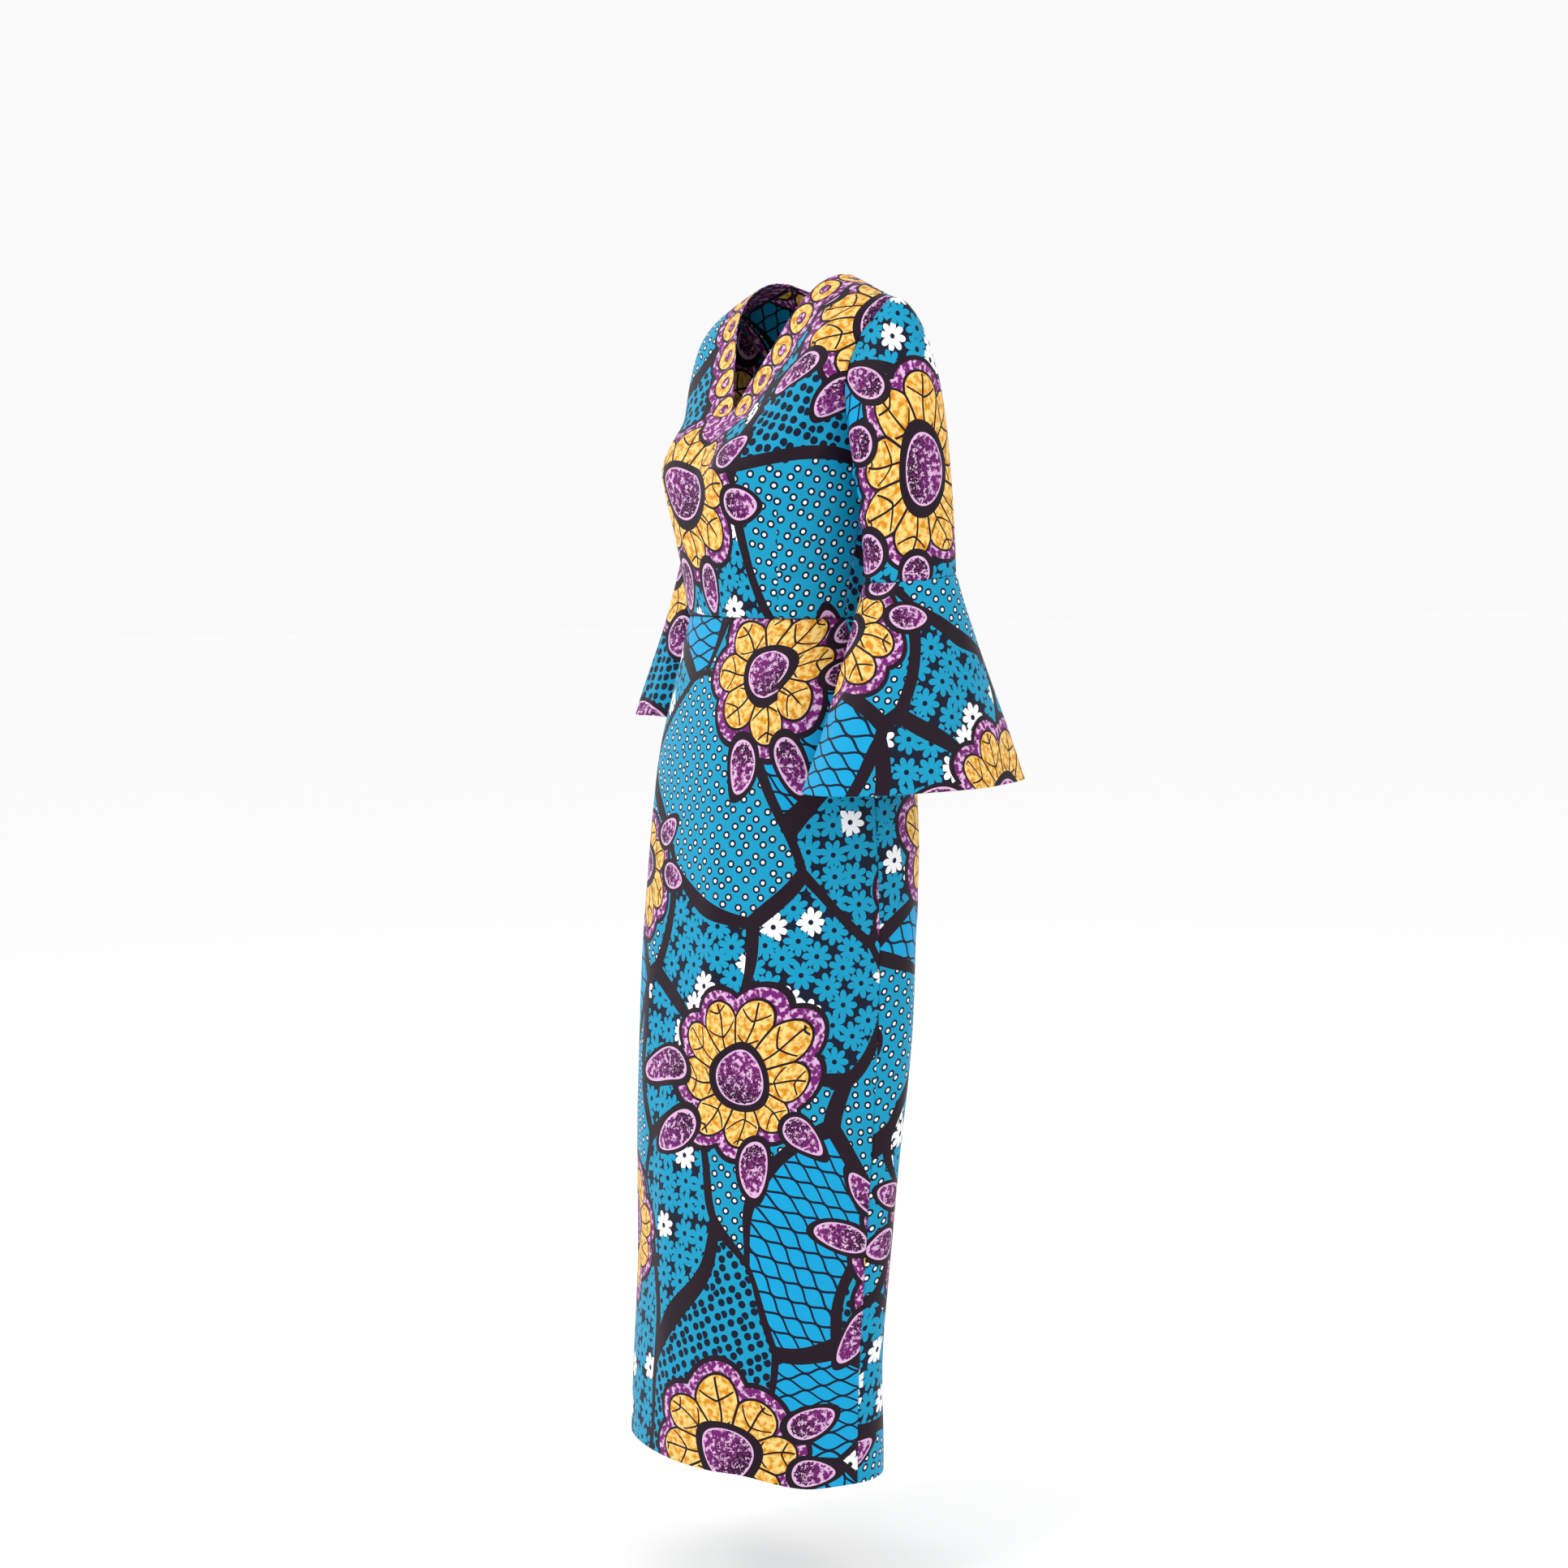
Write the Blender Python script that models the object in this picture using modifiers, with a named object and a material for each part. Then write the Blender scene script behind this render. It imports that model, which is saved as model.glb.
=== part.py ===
"""Ankara flare dress: a long column dress in printed cotton, with a V neck and bell sleeves.

The dress keeps the hollow form it has when worn, with nobody in it. It is ten cut pieces: a front
bodice, two back bodice halves, a front skirt, two back skirt halves, two upper sleeves and the two
flared flounces sewn on below the elbows. Every piece is a thin open surface, lofted through sections
of the dress, that Solidify makes into cloth.

Metres, +Z up. The wearer faces -Y and their left is +X. The origin is between the two neck points of
the shoulder seams, where the shoulders carry the dress.
"""

import math

import bmesh
import bpy
import numpy as np

# Sizes that everything shares

CLOTH = 0.0015  # wall thickness of the cotton with its turned edges
SEAM_GAP = 0.0003  # left between two pieces along a seam
WAIST = -0.392  # height of the waist seam under the neck points
DRESS_HEM = -1.356  # height of the hem in front
HEM_DROP = 0.020  # how much lower the hem hangs at the sides and behind

# Faces along and across each kind of piece

BODICE_ACROSS, BODICE_TO_UNDERARM, ARMHOLE_UP = 12, 10, 14
SKIRT_ACROSS, SKIRT_UP = 12, 18
SLEEVE_ROUND, SLEEVE_DOWN = 2 * ARMHOLE_UP, 10
FLOUNCE_ROUND, FLOUNCE_DOWN = 36, 8


def named(names, *rows):
    """A short table as a dictionary of its columns."""
    return dict(zip(names.split(), np.array(rows, float).T))


# The front bodice, half of it, from the waist up. A row runs from the centre front, or from the edge
# of the V above its point, out to the side seam, or to the armhole above the underarm. The turns say
# which way in plan the cloth heads at either end, in degrees from +X towards the back, and the bows
# how strongly it holds that heading, in lengths of the row.

FRONT_BODICE = named(
    "in_x in_y in_z out_x out_y out_z in_turn out_turn in_bow out_bow",
    (0.000, -0.092, -0.392, 0.126, 0.014, -0.392, 0, 90, 1.55, 1.30),
    (0.000, -0.101, -0.345, 0.129, 0.018, -0.345, 0, 90, 1.55, 1.30),
    (0.000, -0.107, -0.300, 0.135, 0.024, -0.300, 0, 90, 1.55, 1.30),
    (0.000, -0.108, -0.255, 0.142, 0.030, -0.255, 0, 90, 1.55, 1.30),
    (0.000, -0.101, -0.220, 0.146, 0.037, -0.207, -4, 90, 1.52, 1.30),
    (0.000, -0.084, -0.190, 0.149, 0.012, -0.190, -2, 84, 1.45, 1.30),
    (0.000, -0.060, -0.160, 0.157, -0.004, -0.163, 8, 76, 1.30, 1.38),
    (0.020, -0.047, -0.125, 0.165, -0.011, -0.132, 15, 66, 1.20, 1.44),
    (0.042, -0.033, -0.088, 0.170, -0.006, -0.102, 18, 64, 1.20, 1.44),
    (0.059, -0.021, -0.056, 0.175, 0.006, -0.073, 16, 60, 1.20, 1.40),
    (0.071, 0.000, -0.025, 0.179, 0.022, -0.053, 6, 44, 1.10, 1.22),
    (0.0745, 0.020, -0.010, 0.180, 0.033, -0.040, 0, 15, 1.05, 1.05),
    (0.075, 0.036, -0.0045, 0.180, 0.0385, -0.0372, 0, 0, 1.00, 1.00),
    (0.075, 0.0445, -0.004, 0.180, 0.042, -0.037, 0, 0, 1.00, 1.00),
)

# The back bodice in the same way, from the centre back, or from the edge of the back neck

BACK_BODICE = named(
    "in_x in_y in_z out_x out_y out_z in_turn out_turn in_bow out_bow",
    (0.000, 0.086, -0.392, 0.126, 0.014, -0.392, 0, -90, 1.50, 1.30),
    (0.000, 0.090, -0.345, 0.129, 0.018, -0.345, 0, -90, 1.50, 1.30),
    (0.000, 0.098, -0.300, 0.135, 0.024, -0.300, 0, -90, 1.50, 1.30),
    (0.000, 0.107, -0.255, 0.142, 0.030, -0.255, 0, -90, 1.50, 1.30),
    (0.000, 0.114, -0.207, 0.146, 0.037, -0.207, 0, -90, 1.45, 1.25),
    (0.000, 0.117, -0.165, 0.150, 0.062, -0.188, 0, -76, 1.30, 1.15),
    (0.000, 0.116, -0.125, 0.156, 0.078, -0.157, 0, -58, 1.20, 1.10),
    (0.000, 0.112, -0.088, 0.163, 0.083, -0.124, 0, -46, 1.10, 1.05),
    (0.000, 0.104, -0.056, 0.170, 0.080, -0.093, 0, -36, 1.05, 1.00),
    (0.004, 0.094, -0.029, 0.176, 0.069, -0.067, -4, -20, 1.00, 1.00),
    (0.036, 0.086, -0.023, 0.179, 0.058, -0.050, -4, -10, 1.00, 1.00),
    (0.063, 0.068, -0.011, 0.180, 0.050, -0.040, -2, 0, 1.00, 1.00),
    (0.073, 0.053, -0.0045, 0.180, 0.0455, -0.0372, 0, 0, 1.00, 1.00),
    (0.075, 0.0445, -0.004, 0.180, 0.042, -0.037, 0, 0, 1.00, 1.00),
)

UNDERARM = 4  # the row of both tables where the side seam ends and the armhole starts

# The bust, taken up by the darts below it

BUST = {"x": 0.086, "z": -0.208, "width": 0.048, "height": 0.054, "depth": 0.019}

# The skirt, by height: half its width, where its front and its back are, where its side seam lies
# between them, and how far its corners fill out

SKIRT = named(
    "z half_width front back seam_y fullness",
    (-0.3923, 0.1260, -0.0920, 0.0860, 0.014, 1.93),
    (-0.4300, 0.1450, -0.0985, 0.1020, 0.016, 1.93),
    (-0.4800, 0.1600, -0.1080, 0.1210, 0.020, 1.95),
    (-0.5400, 0.1670, -0.1220, 0.1350, 0.024, 1.98),
    (-0.6200, 0.1720, -0.1330, 0.1370, 0.027, 2.00),
    (-0.7200, 0.1760, -0.1425, 0.1330, 0.029, 2.00),
    (-0.8200, 0.1780, -0.1500, 0.1260, 0.028, 2.00),
    (-0.9200, 0.1770, -0.1555, 0.1160, 0.024, 2.00),
    (-1.0300, 0.1740, -0.1580, 0.1030, 0.019, 2.00),
    (-1.1400, 0.1700, -0.1605, 0.0930, 0.014, 2.00),
    (-1.2500, 0.1670, -0.1640, 0.0840, 0.009, 2.00),
    (-1.3560, 0.1680, -0.1680, 0.0840, 0.007, 2.00),
)

# Where the cloth of a sleeve heads as it leaves the armhole. A turn of 0 is at the underarm, 0.25 at
# the front, 0.5 on top of the shoulder and 0.75 at the back. Reach is how far that heading carries.

SLEEVE_HEAD = named(
    "turn x y z reach",
    (0.00, 0.18, 0.00, -0.98, 0.045),
    (0.12, 0.26, -0.10, -0.96, 0.050),
    (0.25, 0.45, -0.14, -0.88, 0.055),
    (0.38, 0.80, -0.18, -0.48, 0.054),
    (0.50, 0.98, 0.08, -0.06, 0.058),
    (0.62, 0.86, 0.40, -0.20, 0.054),
    (0.75, 0.56, 0.44, -0.66, 0.050),
    (0.88, 0.30, 0.18, -0.93, 0.050),
    (1.00, 0.18, 0.00, -0.98, 0.045),
)

# Each arm's sleeve: the middle of the seam below the elbow and the middle of the bell's hem. The
# wearer's right arm is bent a little, so its bell hangs higher and tips forwards.

ARMS = {
    "left": {
        "side": 1, "elbow": (0.2000, 0.0525, -0.346), "bell": (0.2150, 0.0450, -0.574),
        "elbow_slope": 0.09, "bell_slope": 0.03,
    },
    "right": {
        "side": -1, "elbow": (0.2000, 0.0440, -0.308), "bell": (0.2150, 0.0840, -0.532),
        "elbow_slope": 0.05, "bell_slope": -0.10,
    },
}

ELBOW = {"half_width": 0.0450, "half_depth": 0.0530}
BELL = {"inside": 0.040, "outside": 0.096, "front": 0.145, "back": 0.130}

# Soft waves of a bell round its hem: how many, how deep, and where the first crest is

WAVES = named(
    "count depth turn",
    (3, 0.0050, 0.10),
    (5, 0.0035, 0.62),
)


def smooth(knots, values, at, corner=None):
    """The column's value at a place between its knots, on a curve that is smooth through all rows
    but the corner."""
    step = np.diff(knots)
    rise = np.diff(values) / step
    slope = np.empty_like(values)
    slope[0], slope[-1] = rise[0], rise[-1]
    slope[1:-1] = (step[1:] * rise[:-1] + step[:-1] * rise[1:]) / (step[1:] + step[:-1])
    if corner is not None:
        slope[corner] = rise[corner - 1] if at < knots[corner] else rise[corner]
    i = int(np.clip(np.searchsorted(knots, at, side="right") - 1, 0, len(step) - 1))
    t = (at - knots[i]) / step[i]
    return (
        (1 + 2 * t) * (1 - t) ** 2 * values[i]
        + t * (1 - t) ** 2 * step[i] * slope[i]
        + t * t * (3 - 2 * t) * values[i + 1]
        + t * t * (t - 1) * step[i] * slope[i + 1]
    )


def read(table, knots, at):
    """All columns of a table at one place. A bodice's outer edge has its corner at the underarm."""
    corner = {name: UNDERARM if name.startswith("out") else None for name in table}
    return {name: smooth(knots, column, at, corner[name]) for name, column in table.items()}


def spacing(table):
    """Knots along a bodice table, by the length of the side seam up to the underarm, which front and
    back share, and by the mean length of both edges above it."""
    lengths = []
    for end in ("out", "in"):
        edge = np.stack([table[f"{end}_{axis}"] for axis in "xyz"], 1)
        lengths.append(np.linalg.norm(np.diff(edge, axis=0), axis=1))
    steps = np.where(np.arange(len(lengths[0])) < UNDERARM, lengths[0], (lengths[0] + lengths[1]) / 2)
    return np.concatenate([[0], np.cumsum(steps)])


FRONT_KNOTS = spacing(FRONT_BODICE)
BACK_KNOTS = spacing(BACK_BODICE)


def bow(start, end, leave, arrive, u):
    """A point on the curve between two ends that leaves and arrives with the given headings."""
    return (
        (1 + 2 * u) * (1 - u) ** 2 * start
        + u * (1 - u) ** 2 * leave
        + u * u * (3 - 2 * u) * end
        + u * u * (u - 1) * arrive
    )


def up_the_armhole(knots, share):
    """The place in a bodice table at a share of the way from the underarm to the shoulder seam. The
    shares crowd towards the shoulder, which is where the cloth turns over most sharply."""
    return knots[UNDERARM] + (knots[-1] - knots[UNDERARM]) * (1 - (1 - share) ** 1.4)


def bodice(table, knots, u, v):
    """A point of a bodice half: u runs outwards along a row, v up from the waist. The rows of faces
    meet the underarm, so that a sleeve's faces can meet theirs all round the armhole."""
    rows = v * (BODICE_TO_UNDERARM + ARMHOLE_UP)
    if rows <= BODICE_TO_UNDERARM:
        place = knots[UNDERARM] * rows / BODICE_TO_UNDERARM
    else:
        place = up_the_armhole(knots, (rows - BODICE_TO_UNDERARM) / ARMHOLE_UP)
    row = read(table, knots, place)
    start = np.array([max(row["in_x"], 0.0), row["in_y"], row["in_z"]])
    end = np.array([row["out_x"], row["out_y"], row["out_z"]])
    length = np.linalg.norm(end[:2] - start[:2])
    ends = []
    for name in ("in", "out"):
        turn = math.radians(row[f"{name}_turn"])
        reach = row[f"{name}_bow"] * length
        ends.append(np.array([reach * math.cos(turn), reach * math.sin(turn), end[2] - start[2]]))
    return bow(start, end, ends[0], ends[1], u)


def front_bodice(u, v):
    point = bodice(FRONT_BODICE, FRONT_KNOTS, u, v)
    across = (point[0] - BUST["x"]) / BUST["width"]
    along = (point[2] - BUST["z"]) / BUST["height"]
    point[1] -= BUST["depth"] * math.exp(-0.5 * (across**2 + along**2)) * (1 - u**4)
    return point


def back_bodice(u, v):
    return bodice(BACK_BODICE, BACK_KNOTS, u, v)


def skirt(face, u, v):
    """A point of the front or back skirt: u runs from the centre line to the side seam, v down."""
    row = read(SKIRT, -SKIRT["z"], -(SKIRT["z"][0] + v * (DRESS_HEM - SKIRT["z"][0])))
    middle = np.array([0.0, row[face]])
    side = np.array([row["half_width"], row["seam_y"]])
    out = np.array([row["fullness"] * row["half_width"], 0.0])
    round_the_side = np.array([0.0, row["fullness"] * (row["seam_y"] - row[face])])
    x, y = bow(middle, side, out, round_the_side, u)
    aside = 1.0 if face == "back" else min(max((u - 0.45) / 0.40, 0.0), 1.0)
    drop = HEM_DROP * v**4 * aside * aside * (3 - 2 * aside)
    return np.array([x, y, row["z"] - drop])


def armhole(turn):
    """A point on the armhole: up the front of it from the underarm to the shoulder, then down the back."""
    if turn <= 0.5:
        table, knots, share = FRONT_BODICE, FRONT_KNOTS, 2 * turn
    else:
        table, knots, share = BACK_BODICE, BACK_KNOTS, 2 - 2 * turn
    row = read(table, knots, up_the_armhole(knots, share))
    return np.array([row["out_x"], row["out_y"], row["out_z"]])


def elbow_ring(arm, turn):
    """A point on the seam between the sleeve and its bell."""
    x, y, z = arm["elbow"]
    angle = 2 * math.pi * turn
    dx = -ELBOW["half_width"] * math.cos(angle)
    dy = -ELBOW["half_depth"] * math.sin(angle)
    return np.array([x + dx, y + dy, z + arm["elbow_slope"] * dy])


def sleeve(arm, u, v):
    """A point of an upper sleeve: u turns round the arm, v runs down it."""
    head = read(SLEEVE_HEAD, SLEEVE_HEAD["turn"], u)
    heading = np.array([head["x"], head["y"], head["z"]])
    top = armhole(u) + SEAM_GAP * heading
    bottom = elbow_ring(arm, u)
    bottom[2] += 0.5 * SEAM_GAP
    down = np.array([0.05, 0.0, -1.0]) * 0.26
    return bow(top, bottom, 3 * head["reach"] * heading, down, v)


def flounce(arm, u, v):
    """A point of a bell: u turns round the arm, v runs down from the elbow seam to the hem."""
    top = elbow_ring(arm, u)
    top[2] -= 0.5 * SEAM_GAP
    angle = 2 * math.pi * u
    dx, dy = -math.cos(angle), -math.sin(angle)
    dx *= BELL["inside"] if dx < 0 else BELL["outside"]
    dy *= BELL["front"] if dy < 0 else BELL["back"]
    wave = sum(
        depth * math.cos(count * angle - 2 * math.pi * turn)
        for count, depth, turn in zip(WAVES["count"], WAVES["depth"], WAVES["turn"])
    )
    grow = 1 + wave * max(0.0, math.sin(math.pi * u)) / 0.11
    x, y, z = arm["bell"]
    bottom = np.array([x + dx * grow, y + dy * grow, z + arm["bell_slope"] * dy])
    fall = (bottom - top) * np.array([0.80, 0.80, 1.0])
    spread = (bottom - top) * np.array([1.10, 1.10, 1.0])
    return bow(top, bottom, fall, spread, v)


# Building the pieces


def material(name, colour, roughness):
    made = bpy.data.materials.new(name)
    made.use_nodes = True
    shader = made.node_tree.nodes["Principled BSDF"]
    shader.inputs["Base Color"].default_value = (*colour, 1.0)
    shader.inputs["Roughness"].default_value = roughness
    shader.inputs["Metallic"].default_value = 0.0
    return made


def piece(collection, name, point, across, along, colour, inside_out=False, tube=False, mirrored=False):
    """One cut piece: a grid bent to the surface point(u, v), thickened inwards by the cloth."""
    bm = bmesh.new()
    bmesh.ops.create_grid(bm, x_segments=across, y_segments=along, size=0.5)
    for vert in bm.verts:
        vert.co = point(vert.co.x + 0.5, vert.co.y + 0.5)
    if tube:
        bmesh.ops.remove_doubles(bm, verts=bm.verts, dist=0.00001)
    if inside_out:
        bmesh.ops.reverse_faces(bm, faces=bm.faces)
    mesh = bpy.data.meshes.new(name)
    bm.to_mesh(mesh)
    bm.free()
    mesh.shade_smooth()
    mesh.materials.append(material(name, colour, 0.75))
    made = bpy.data.objects.new(name, mesh)
    collection.objects.link(made)
    if mirrored:
        mirror = made.modifiers.new("Other half", "MIRROR")
        mirror.use_axis = (True, False, False)
        mirror.merge_threshold = 0.00005
    wall = made.modifiers.new("Cloth", "SOLIDIFY")
    wall.thickness = CLOTH
    wall.offset = -1
    return made


def turned(surface, side):
    """The same surface for the wearer's other side."""
    if side > 0:
        return surface
    return lambda u, v: surface(u, v) * np.array([-1.0, 1.0, 1.0])


def build():
    for old in list(bpy.data.objects):
        bpy.data.objects.remove(old, do_unlink=True)
    dress = bpy.data.collections.new("ankara_flare_dress")
    bpy.context.scene.collection.children.link(dress)

    front = piece(
        dress, "bodice_front", front_bodice, BODICE_ACROSS, BODICE_TO_UNDERARM + ARMHOLE_UP,
        (0.010, 0.45, 0.70), mirrored=True,
    )
    front.location.y = -SEAM_GAP / 2

    skirt_front = piece(
        dress, "skirt_front", lambda u, v: skirt("front", u, v), SKIRT_ACROSS, SKIRT_UP,
        (0.010, 0.42, 0.66), inside_out=True, mirrored=True,
    )
    skirt_front.location.y = -SEAM_GAP / 2

    for name, arm in ARMS.items():
        side = arm["side"]
        half = piece(
            dress, f"bodice_back_{name}", turned(back_bodice, side), BODICE_ACROSS,
            BODICE_TO_UNDERARM + ARMHOLE_UP, (0.012, 0.40, 0.62), inside_out=side > 0,
        )
        half.location = (side * SEAM_GAP / 2, SEAM_GAP / 2, 0)
        half = piece(
            dress, f"skirt_back_{name}", turned(lambda u, v: skirt("back", u, v), side),
            SKIRT_ACROSS, SKIRT_UP, (0.012, 0.38, 0.60), inside_out=side < 0,
        )
        half.location = (side * SEAM_GAP / 2, SEAM_GAP / 2, 0)
        upper = piece(
            dress, f"sleeve_{name}", turned(lambda u, v: sleeve(arm, u, v), side),
            SLEEVE_ROUND, SLEEVE_DOWN, (0.60, 0.36, 0.04), inside_out=side > 0, tube=True,
        )
        upper.location.x = side * SEAM_GAP
        bell = piece(
            dress, f"flounce_{name}", turned(lambda u, v: flounce(arm, u, v), side),
            FLOUNCE_ROUND, FLOUNCE_DOWN, (0.25, 0.03, 0.24), inside_out=side > 0, tube=True,
        )
        bell.location.x = side * SEAM_GAP


build()
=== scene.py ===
# %% [markdown]
# # Ankara flare dress
#
# A long column dress in printed wax cotton, with a V neck, a waist seam and bell sleeves. It keeps
# the hollow form that it has when it is worn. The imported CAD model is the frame: it says where each
# cut piece lies. Here every piece becomes thin cloth, with its seams, darts, turned edges and soft
# creases, and the whole dress gets its print.

# %% The frame
import math

import bmesh
import bpy
import numpy as np
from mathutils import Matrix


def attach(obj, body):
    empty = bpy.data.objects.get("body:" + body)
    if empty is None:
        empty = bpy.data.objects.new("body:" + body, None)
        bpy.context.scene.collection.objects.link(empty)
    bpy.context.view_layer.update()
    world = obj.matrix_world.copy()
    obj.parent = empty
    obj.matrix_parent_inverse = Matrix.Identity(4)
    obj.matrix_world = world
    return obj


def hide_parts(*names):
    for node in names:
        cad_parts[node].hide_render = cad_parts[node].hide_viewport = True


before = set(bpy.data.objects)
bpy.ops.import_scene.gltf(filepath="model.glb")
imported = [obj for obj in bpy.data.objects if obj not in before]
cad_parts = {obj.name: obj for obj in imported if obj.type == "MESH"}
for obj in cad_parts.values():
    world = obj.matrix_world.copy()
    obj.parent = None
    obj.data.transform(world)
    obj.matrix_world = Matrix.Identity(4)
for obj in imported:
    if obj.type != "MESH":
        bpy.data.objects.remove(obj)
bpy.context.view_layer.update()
print("pieces in the frame:", sorted(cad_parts))

# %% [markdown]
# The camera is 3.5 m away, 60 degrees round from the front towards the left side of the dress, at a
# height between bust and waist, and tipped down slightly. It is set first, so that every render can
# be laid beside the photo.

# %% The camera
CAMERA_AWAY = 3.5
CAMERA_UP = -0.29
CAMERA_TURN = math.radians(60)
CAMERA_TIP = math.atan2(0.298, CAMERA_AWAY)
LENS_MM, SENSOR_MM = 69.22, 36
LENS_SHIFT = 0.0031

camera = bpy.data.objects.new("camera", bpy.data.cameras.new("camera"))
bpy.context.scene.collection.objects.link(camera)
camera.location = (
    CAMERA_AWAY * math.sin(CAMERA_TURN),
    -CAMERA_AWAY * math.cos(CAMERA_TURN),
    CAMERA_UP,
)
camera.rotation_euler = (math.pi / 2 - CAMERA_TIP, 0, CAMERA_TURN)
camera.data.lens = LENS_MM
camera.data.sensor_width = SENSOR_MM
camera.data.shift_x = LENS_SHIFT
bpy.context.scene.camera = camera
print("camera at", [round(c, 3) for c in camera.location])

# %% [markdown]
# The cut of the dress is kept in short tables, the same ones that the solids were lofted from. A row
# is a section of the dress. Between the rows every column runs on a smooth curve, so a dense grid
# of cloth follows the same form as the coarse solids.

# %% Sections of the dress
SEAM_GAP = 0.0003
DRESS_HEM = -1.356
HEM_DROP = 0.020
UNDERARM = 4
ROWS_TO_UNDERARM, ROWS_UP_ARMHOLE = 10, 14
UNDERARM_SHARE = ROWS_TO_UNDERARM / (ROWS_TO_UNDERARM + ROWS_UP_ARMHOLE)


def named(names, *rows):
    """A short table as a dictionary of its columns."""
    return dict(zip(names.split(), np.array(rows, float).T))


FRONT_BODICE = named(
    "in_x in_y in_z out_x out_y out_z in_turn out_turn in_bow out_bow",
    (0.000, -0.092, -0.392, 0.126, 0.014, -0.392, 0, 90, 1.55, 1.30),
    (0.000, -0.101, -0.345, 0.129, 0.018, -0.345, 0, 90, 1.55, 1.30),
    (0.000, -0.107, -0.300, 0.135, 0.024, -0.300, 0, 90, 1.55, 1.30),
    (0.000, -0.108, -0.255, 0.142, 0.030, -0.255, 0, 90, 1.55, 1.30),
    (0.000, -0.101, -0.220, 0.146, 0.037, -0.207, -4, 90, 1.52, 1.30),
    (0.000, -0.084, -0.190, 0.149, 0.012, -0.190, -2, 84, 1.45, 1.30),
    (0.000, -0.060, -0.160, 0.157, -0.004, -0.163, 8, 76, 1.30, 1.38),
    (0.020, -0.047, -0.125, 0.165, -0.011, -0.132, 15, 66, 1.20, 1.44),
    (0.042, -0.033, -0.088, 0.170, -0.006, -0.102, 18, 64, 1.20, 1.44),
    (0.059, -0.021, -0.056, 0.175, 0.006, -0.073, 16, 60, 1.20, 1.40),
    (0.071, 0.000, -0.025, 0.179, 0.022, -0.053, 6, 44, 1.10, 1.22),
    (0.0745, 0.020, -0.010, 0.180, 0.033, -0.040, 0, 15, 1.05, 1.05),
    (0.075, 0.036, -0.0045, 0.180, 0.0385, -0.0372, 0, 0, 1.00, 1.00),
    (0.075, 0.0445, -0.004, 0.180, 0.042, -0.037, 0, 0, 1.00, 1.00),
)
BACK_BODICE = named(
    "in_x in_y in_z out_x out_y out_z in_turn out_turn in_bow out_bow",
    (0.000, 0.086, -0.392, 0.126, 0.014, -0.392, 0, -90, 1.50, 1.30),
    (0.000, 0.090, -0.345, 0.129, 0.018, -0.345, 0, -90, 1.50, 1.30),
    (0.000, 0.098, -0.300, 0.135, 0.024, -0.300, 0, -90, 1.50, 1.30),
    (0.000, 0.107, -0.255, 0.142, 0.030, -0.255, 0, -90, 1.50, 1.30),
    (0.000, 0.114, -0.207, 0.146, 0.037, -0.207, 0, -90, 1.45, 1.25),
    (0.000, 0.117, -0.165, 0.150, 0.062, -0.188, 0, -76, 1.30, 1.15),
    (0.000, 0.116, -0.125, 0.156, 0.078, -0.157, 0, -58, 1.20, 1.10),
    (0.000, 0.112, -0.088, 0.163, 0.083, -0.124, 0, -46, 1.10, 1.05),
    (0.000, 0.104, -0.056, 0.170, 0.080, -0.093, 0, -36, 1.05, 1.00),
    (0.004, 0.094, -0.029, 0.176, 0.069, -0.067, -4, -20, 1.00, 1.00),
    (0.036, 0.086, -0.023, 0.179, 0.058, -0.050, -4, -10, 1.00, 1.00),
    (0.063, 0.068, -0.011, 0.180, 0.050, -0.040, -2, 0, 1.00, 1.00),
    (0.073, 0.053, -0.0045, 0.180, 0.0455, -0.0372, 0, 0, 1.00, 1.00),
    (0.075, 0.0445, -0.004, 0.180, 0.042, -0.037, 0, 0, 1.00, 1.00),
)
BUST = {"x": 0.086, "z": -0.208, "width": 0.048, "height": 0.054, "depth": 0.019}
SKIRT = named(
    "z half_width front back seam_y fullness",
    (-0.3923, 0.1260, -0.0920, 0.0860, 0.014, 1.93),
    (-0.4300, 0.1450, -0.0985, 0.1020, 0.016, 1.93),
    (-0.4800, 0.1600, -0.1080, 0.1210, 0.020, 1.95),
    (-0.5400, 0.1670, -0.1220, 0.1350, 0.024, 1.98),
    (-0.6200, 0.1720, -0.1330, 0.1370, 0.027, 2.00),
    (-0.7200, 0.1760, -0.1425, 0.1330, 0.029, 2.00),
    (-0.8200, 0.1780, -0.1500, 0.1260, 0.028, 2.00),
    (-0.9200, 0.1770, -0.1555, 0.1160, 0.024, 2.00),
    (-1.0300, 0.1740, -0.1580, 0.1030, 0.019, 2.00),
    (-1.1400, 0.1700, -0.1605, 0.0930, 0.014, 2.00),
    (-1.2500, 0.1670, -0.1640, 0.0840, 0.009, 2.00),
    (-1.3560, 0.1680, -0.1680, 0.0840, 0.007, 2.00),
)
SLEEVE_HEAD = named(
    "turn x y z reach",
    (0.00, 0.18, 0.00, -0.98, 0.045),
    (0.12, 0.26, -0.10, -0.96, 0.050),
    (0.25, 0.45, -0.14, -0.88, 0.055),
    (0.38, 0.80, -0.18, -0.48, 0.054),
    (0.50, 0.98, 0.08, -0.06, 0.058),
    (0.62, 0.86, 0.40, -0.20, 0.054),
    (0.75, 0.56, 0.44, -0.66, 0.050),
    (0.88, 0.30, 0.18, -0.93, 0.050),
    (1.00, 0.18, 0.00, -0.98, 0.045),
)
ARMS = {
    "left": {
        "side": 1, "elbow": (0.2000, 0.0525, -0.346), "bell": (0.2150, 0.0450, -0.574),
        "elbow_slope": 0.09, "bell_slope": 0.03,
    },
    "right": {
        "side": -1, "elbow": (0.2000, 0.0440, -0.308), "bell": (0.2150, 0.0840, -0.532),
        "elbow_slope": 0.05, "bell_slope": -0.10,
    },
}
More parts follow.
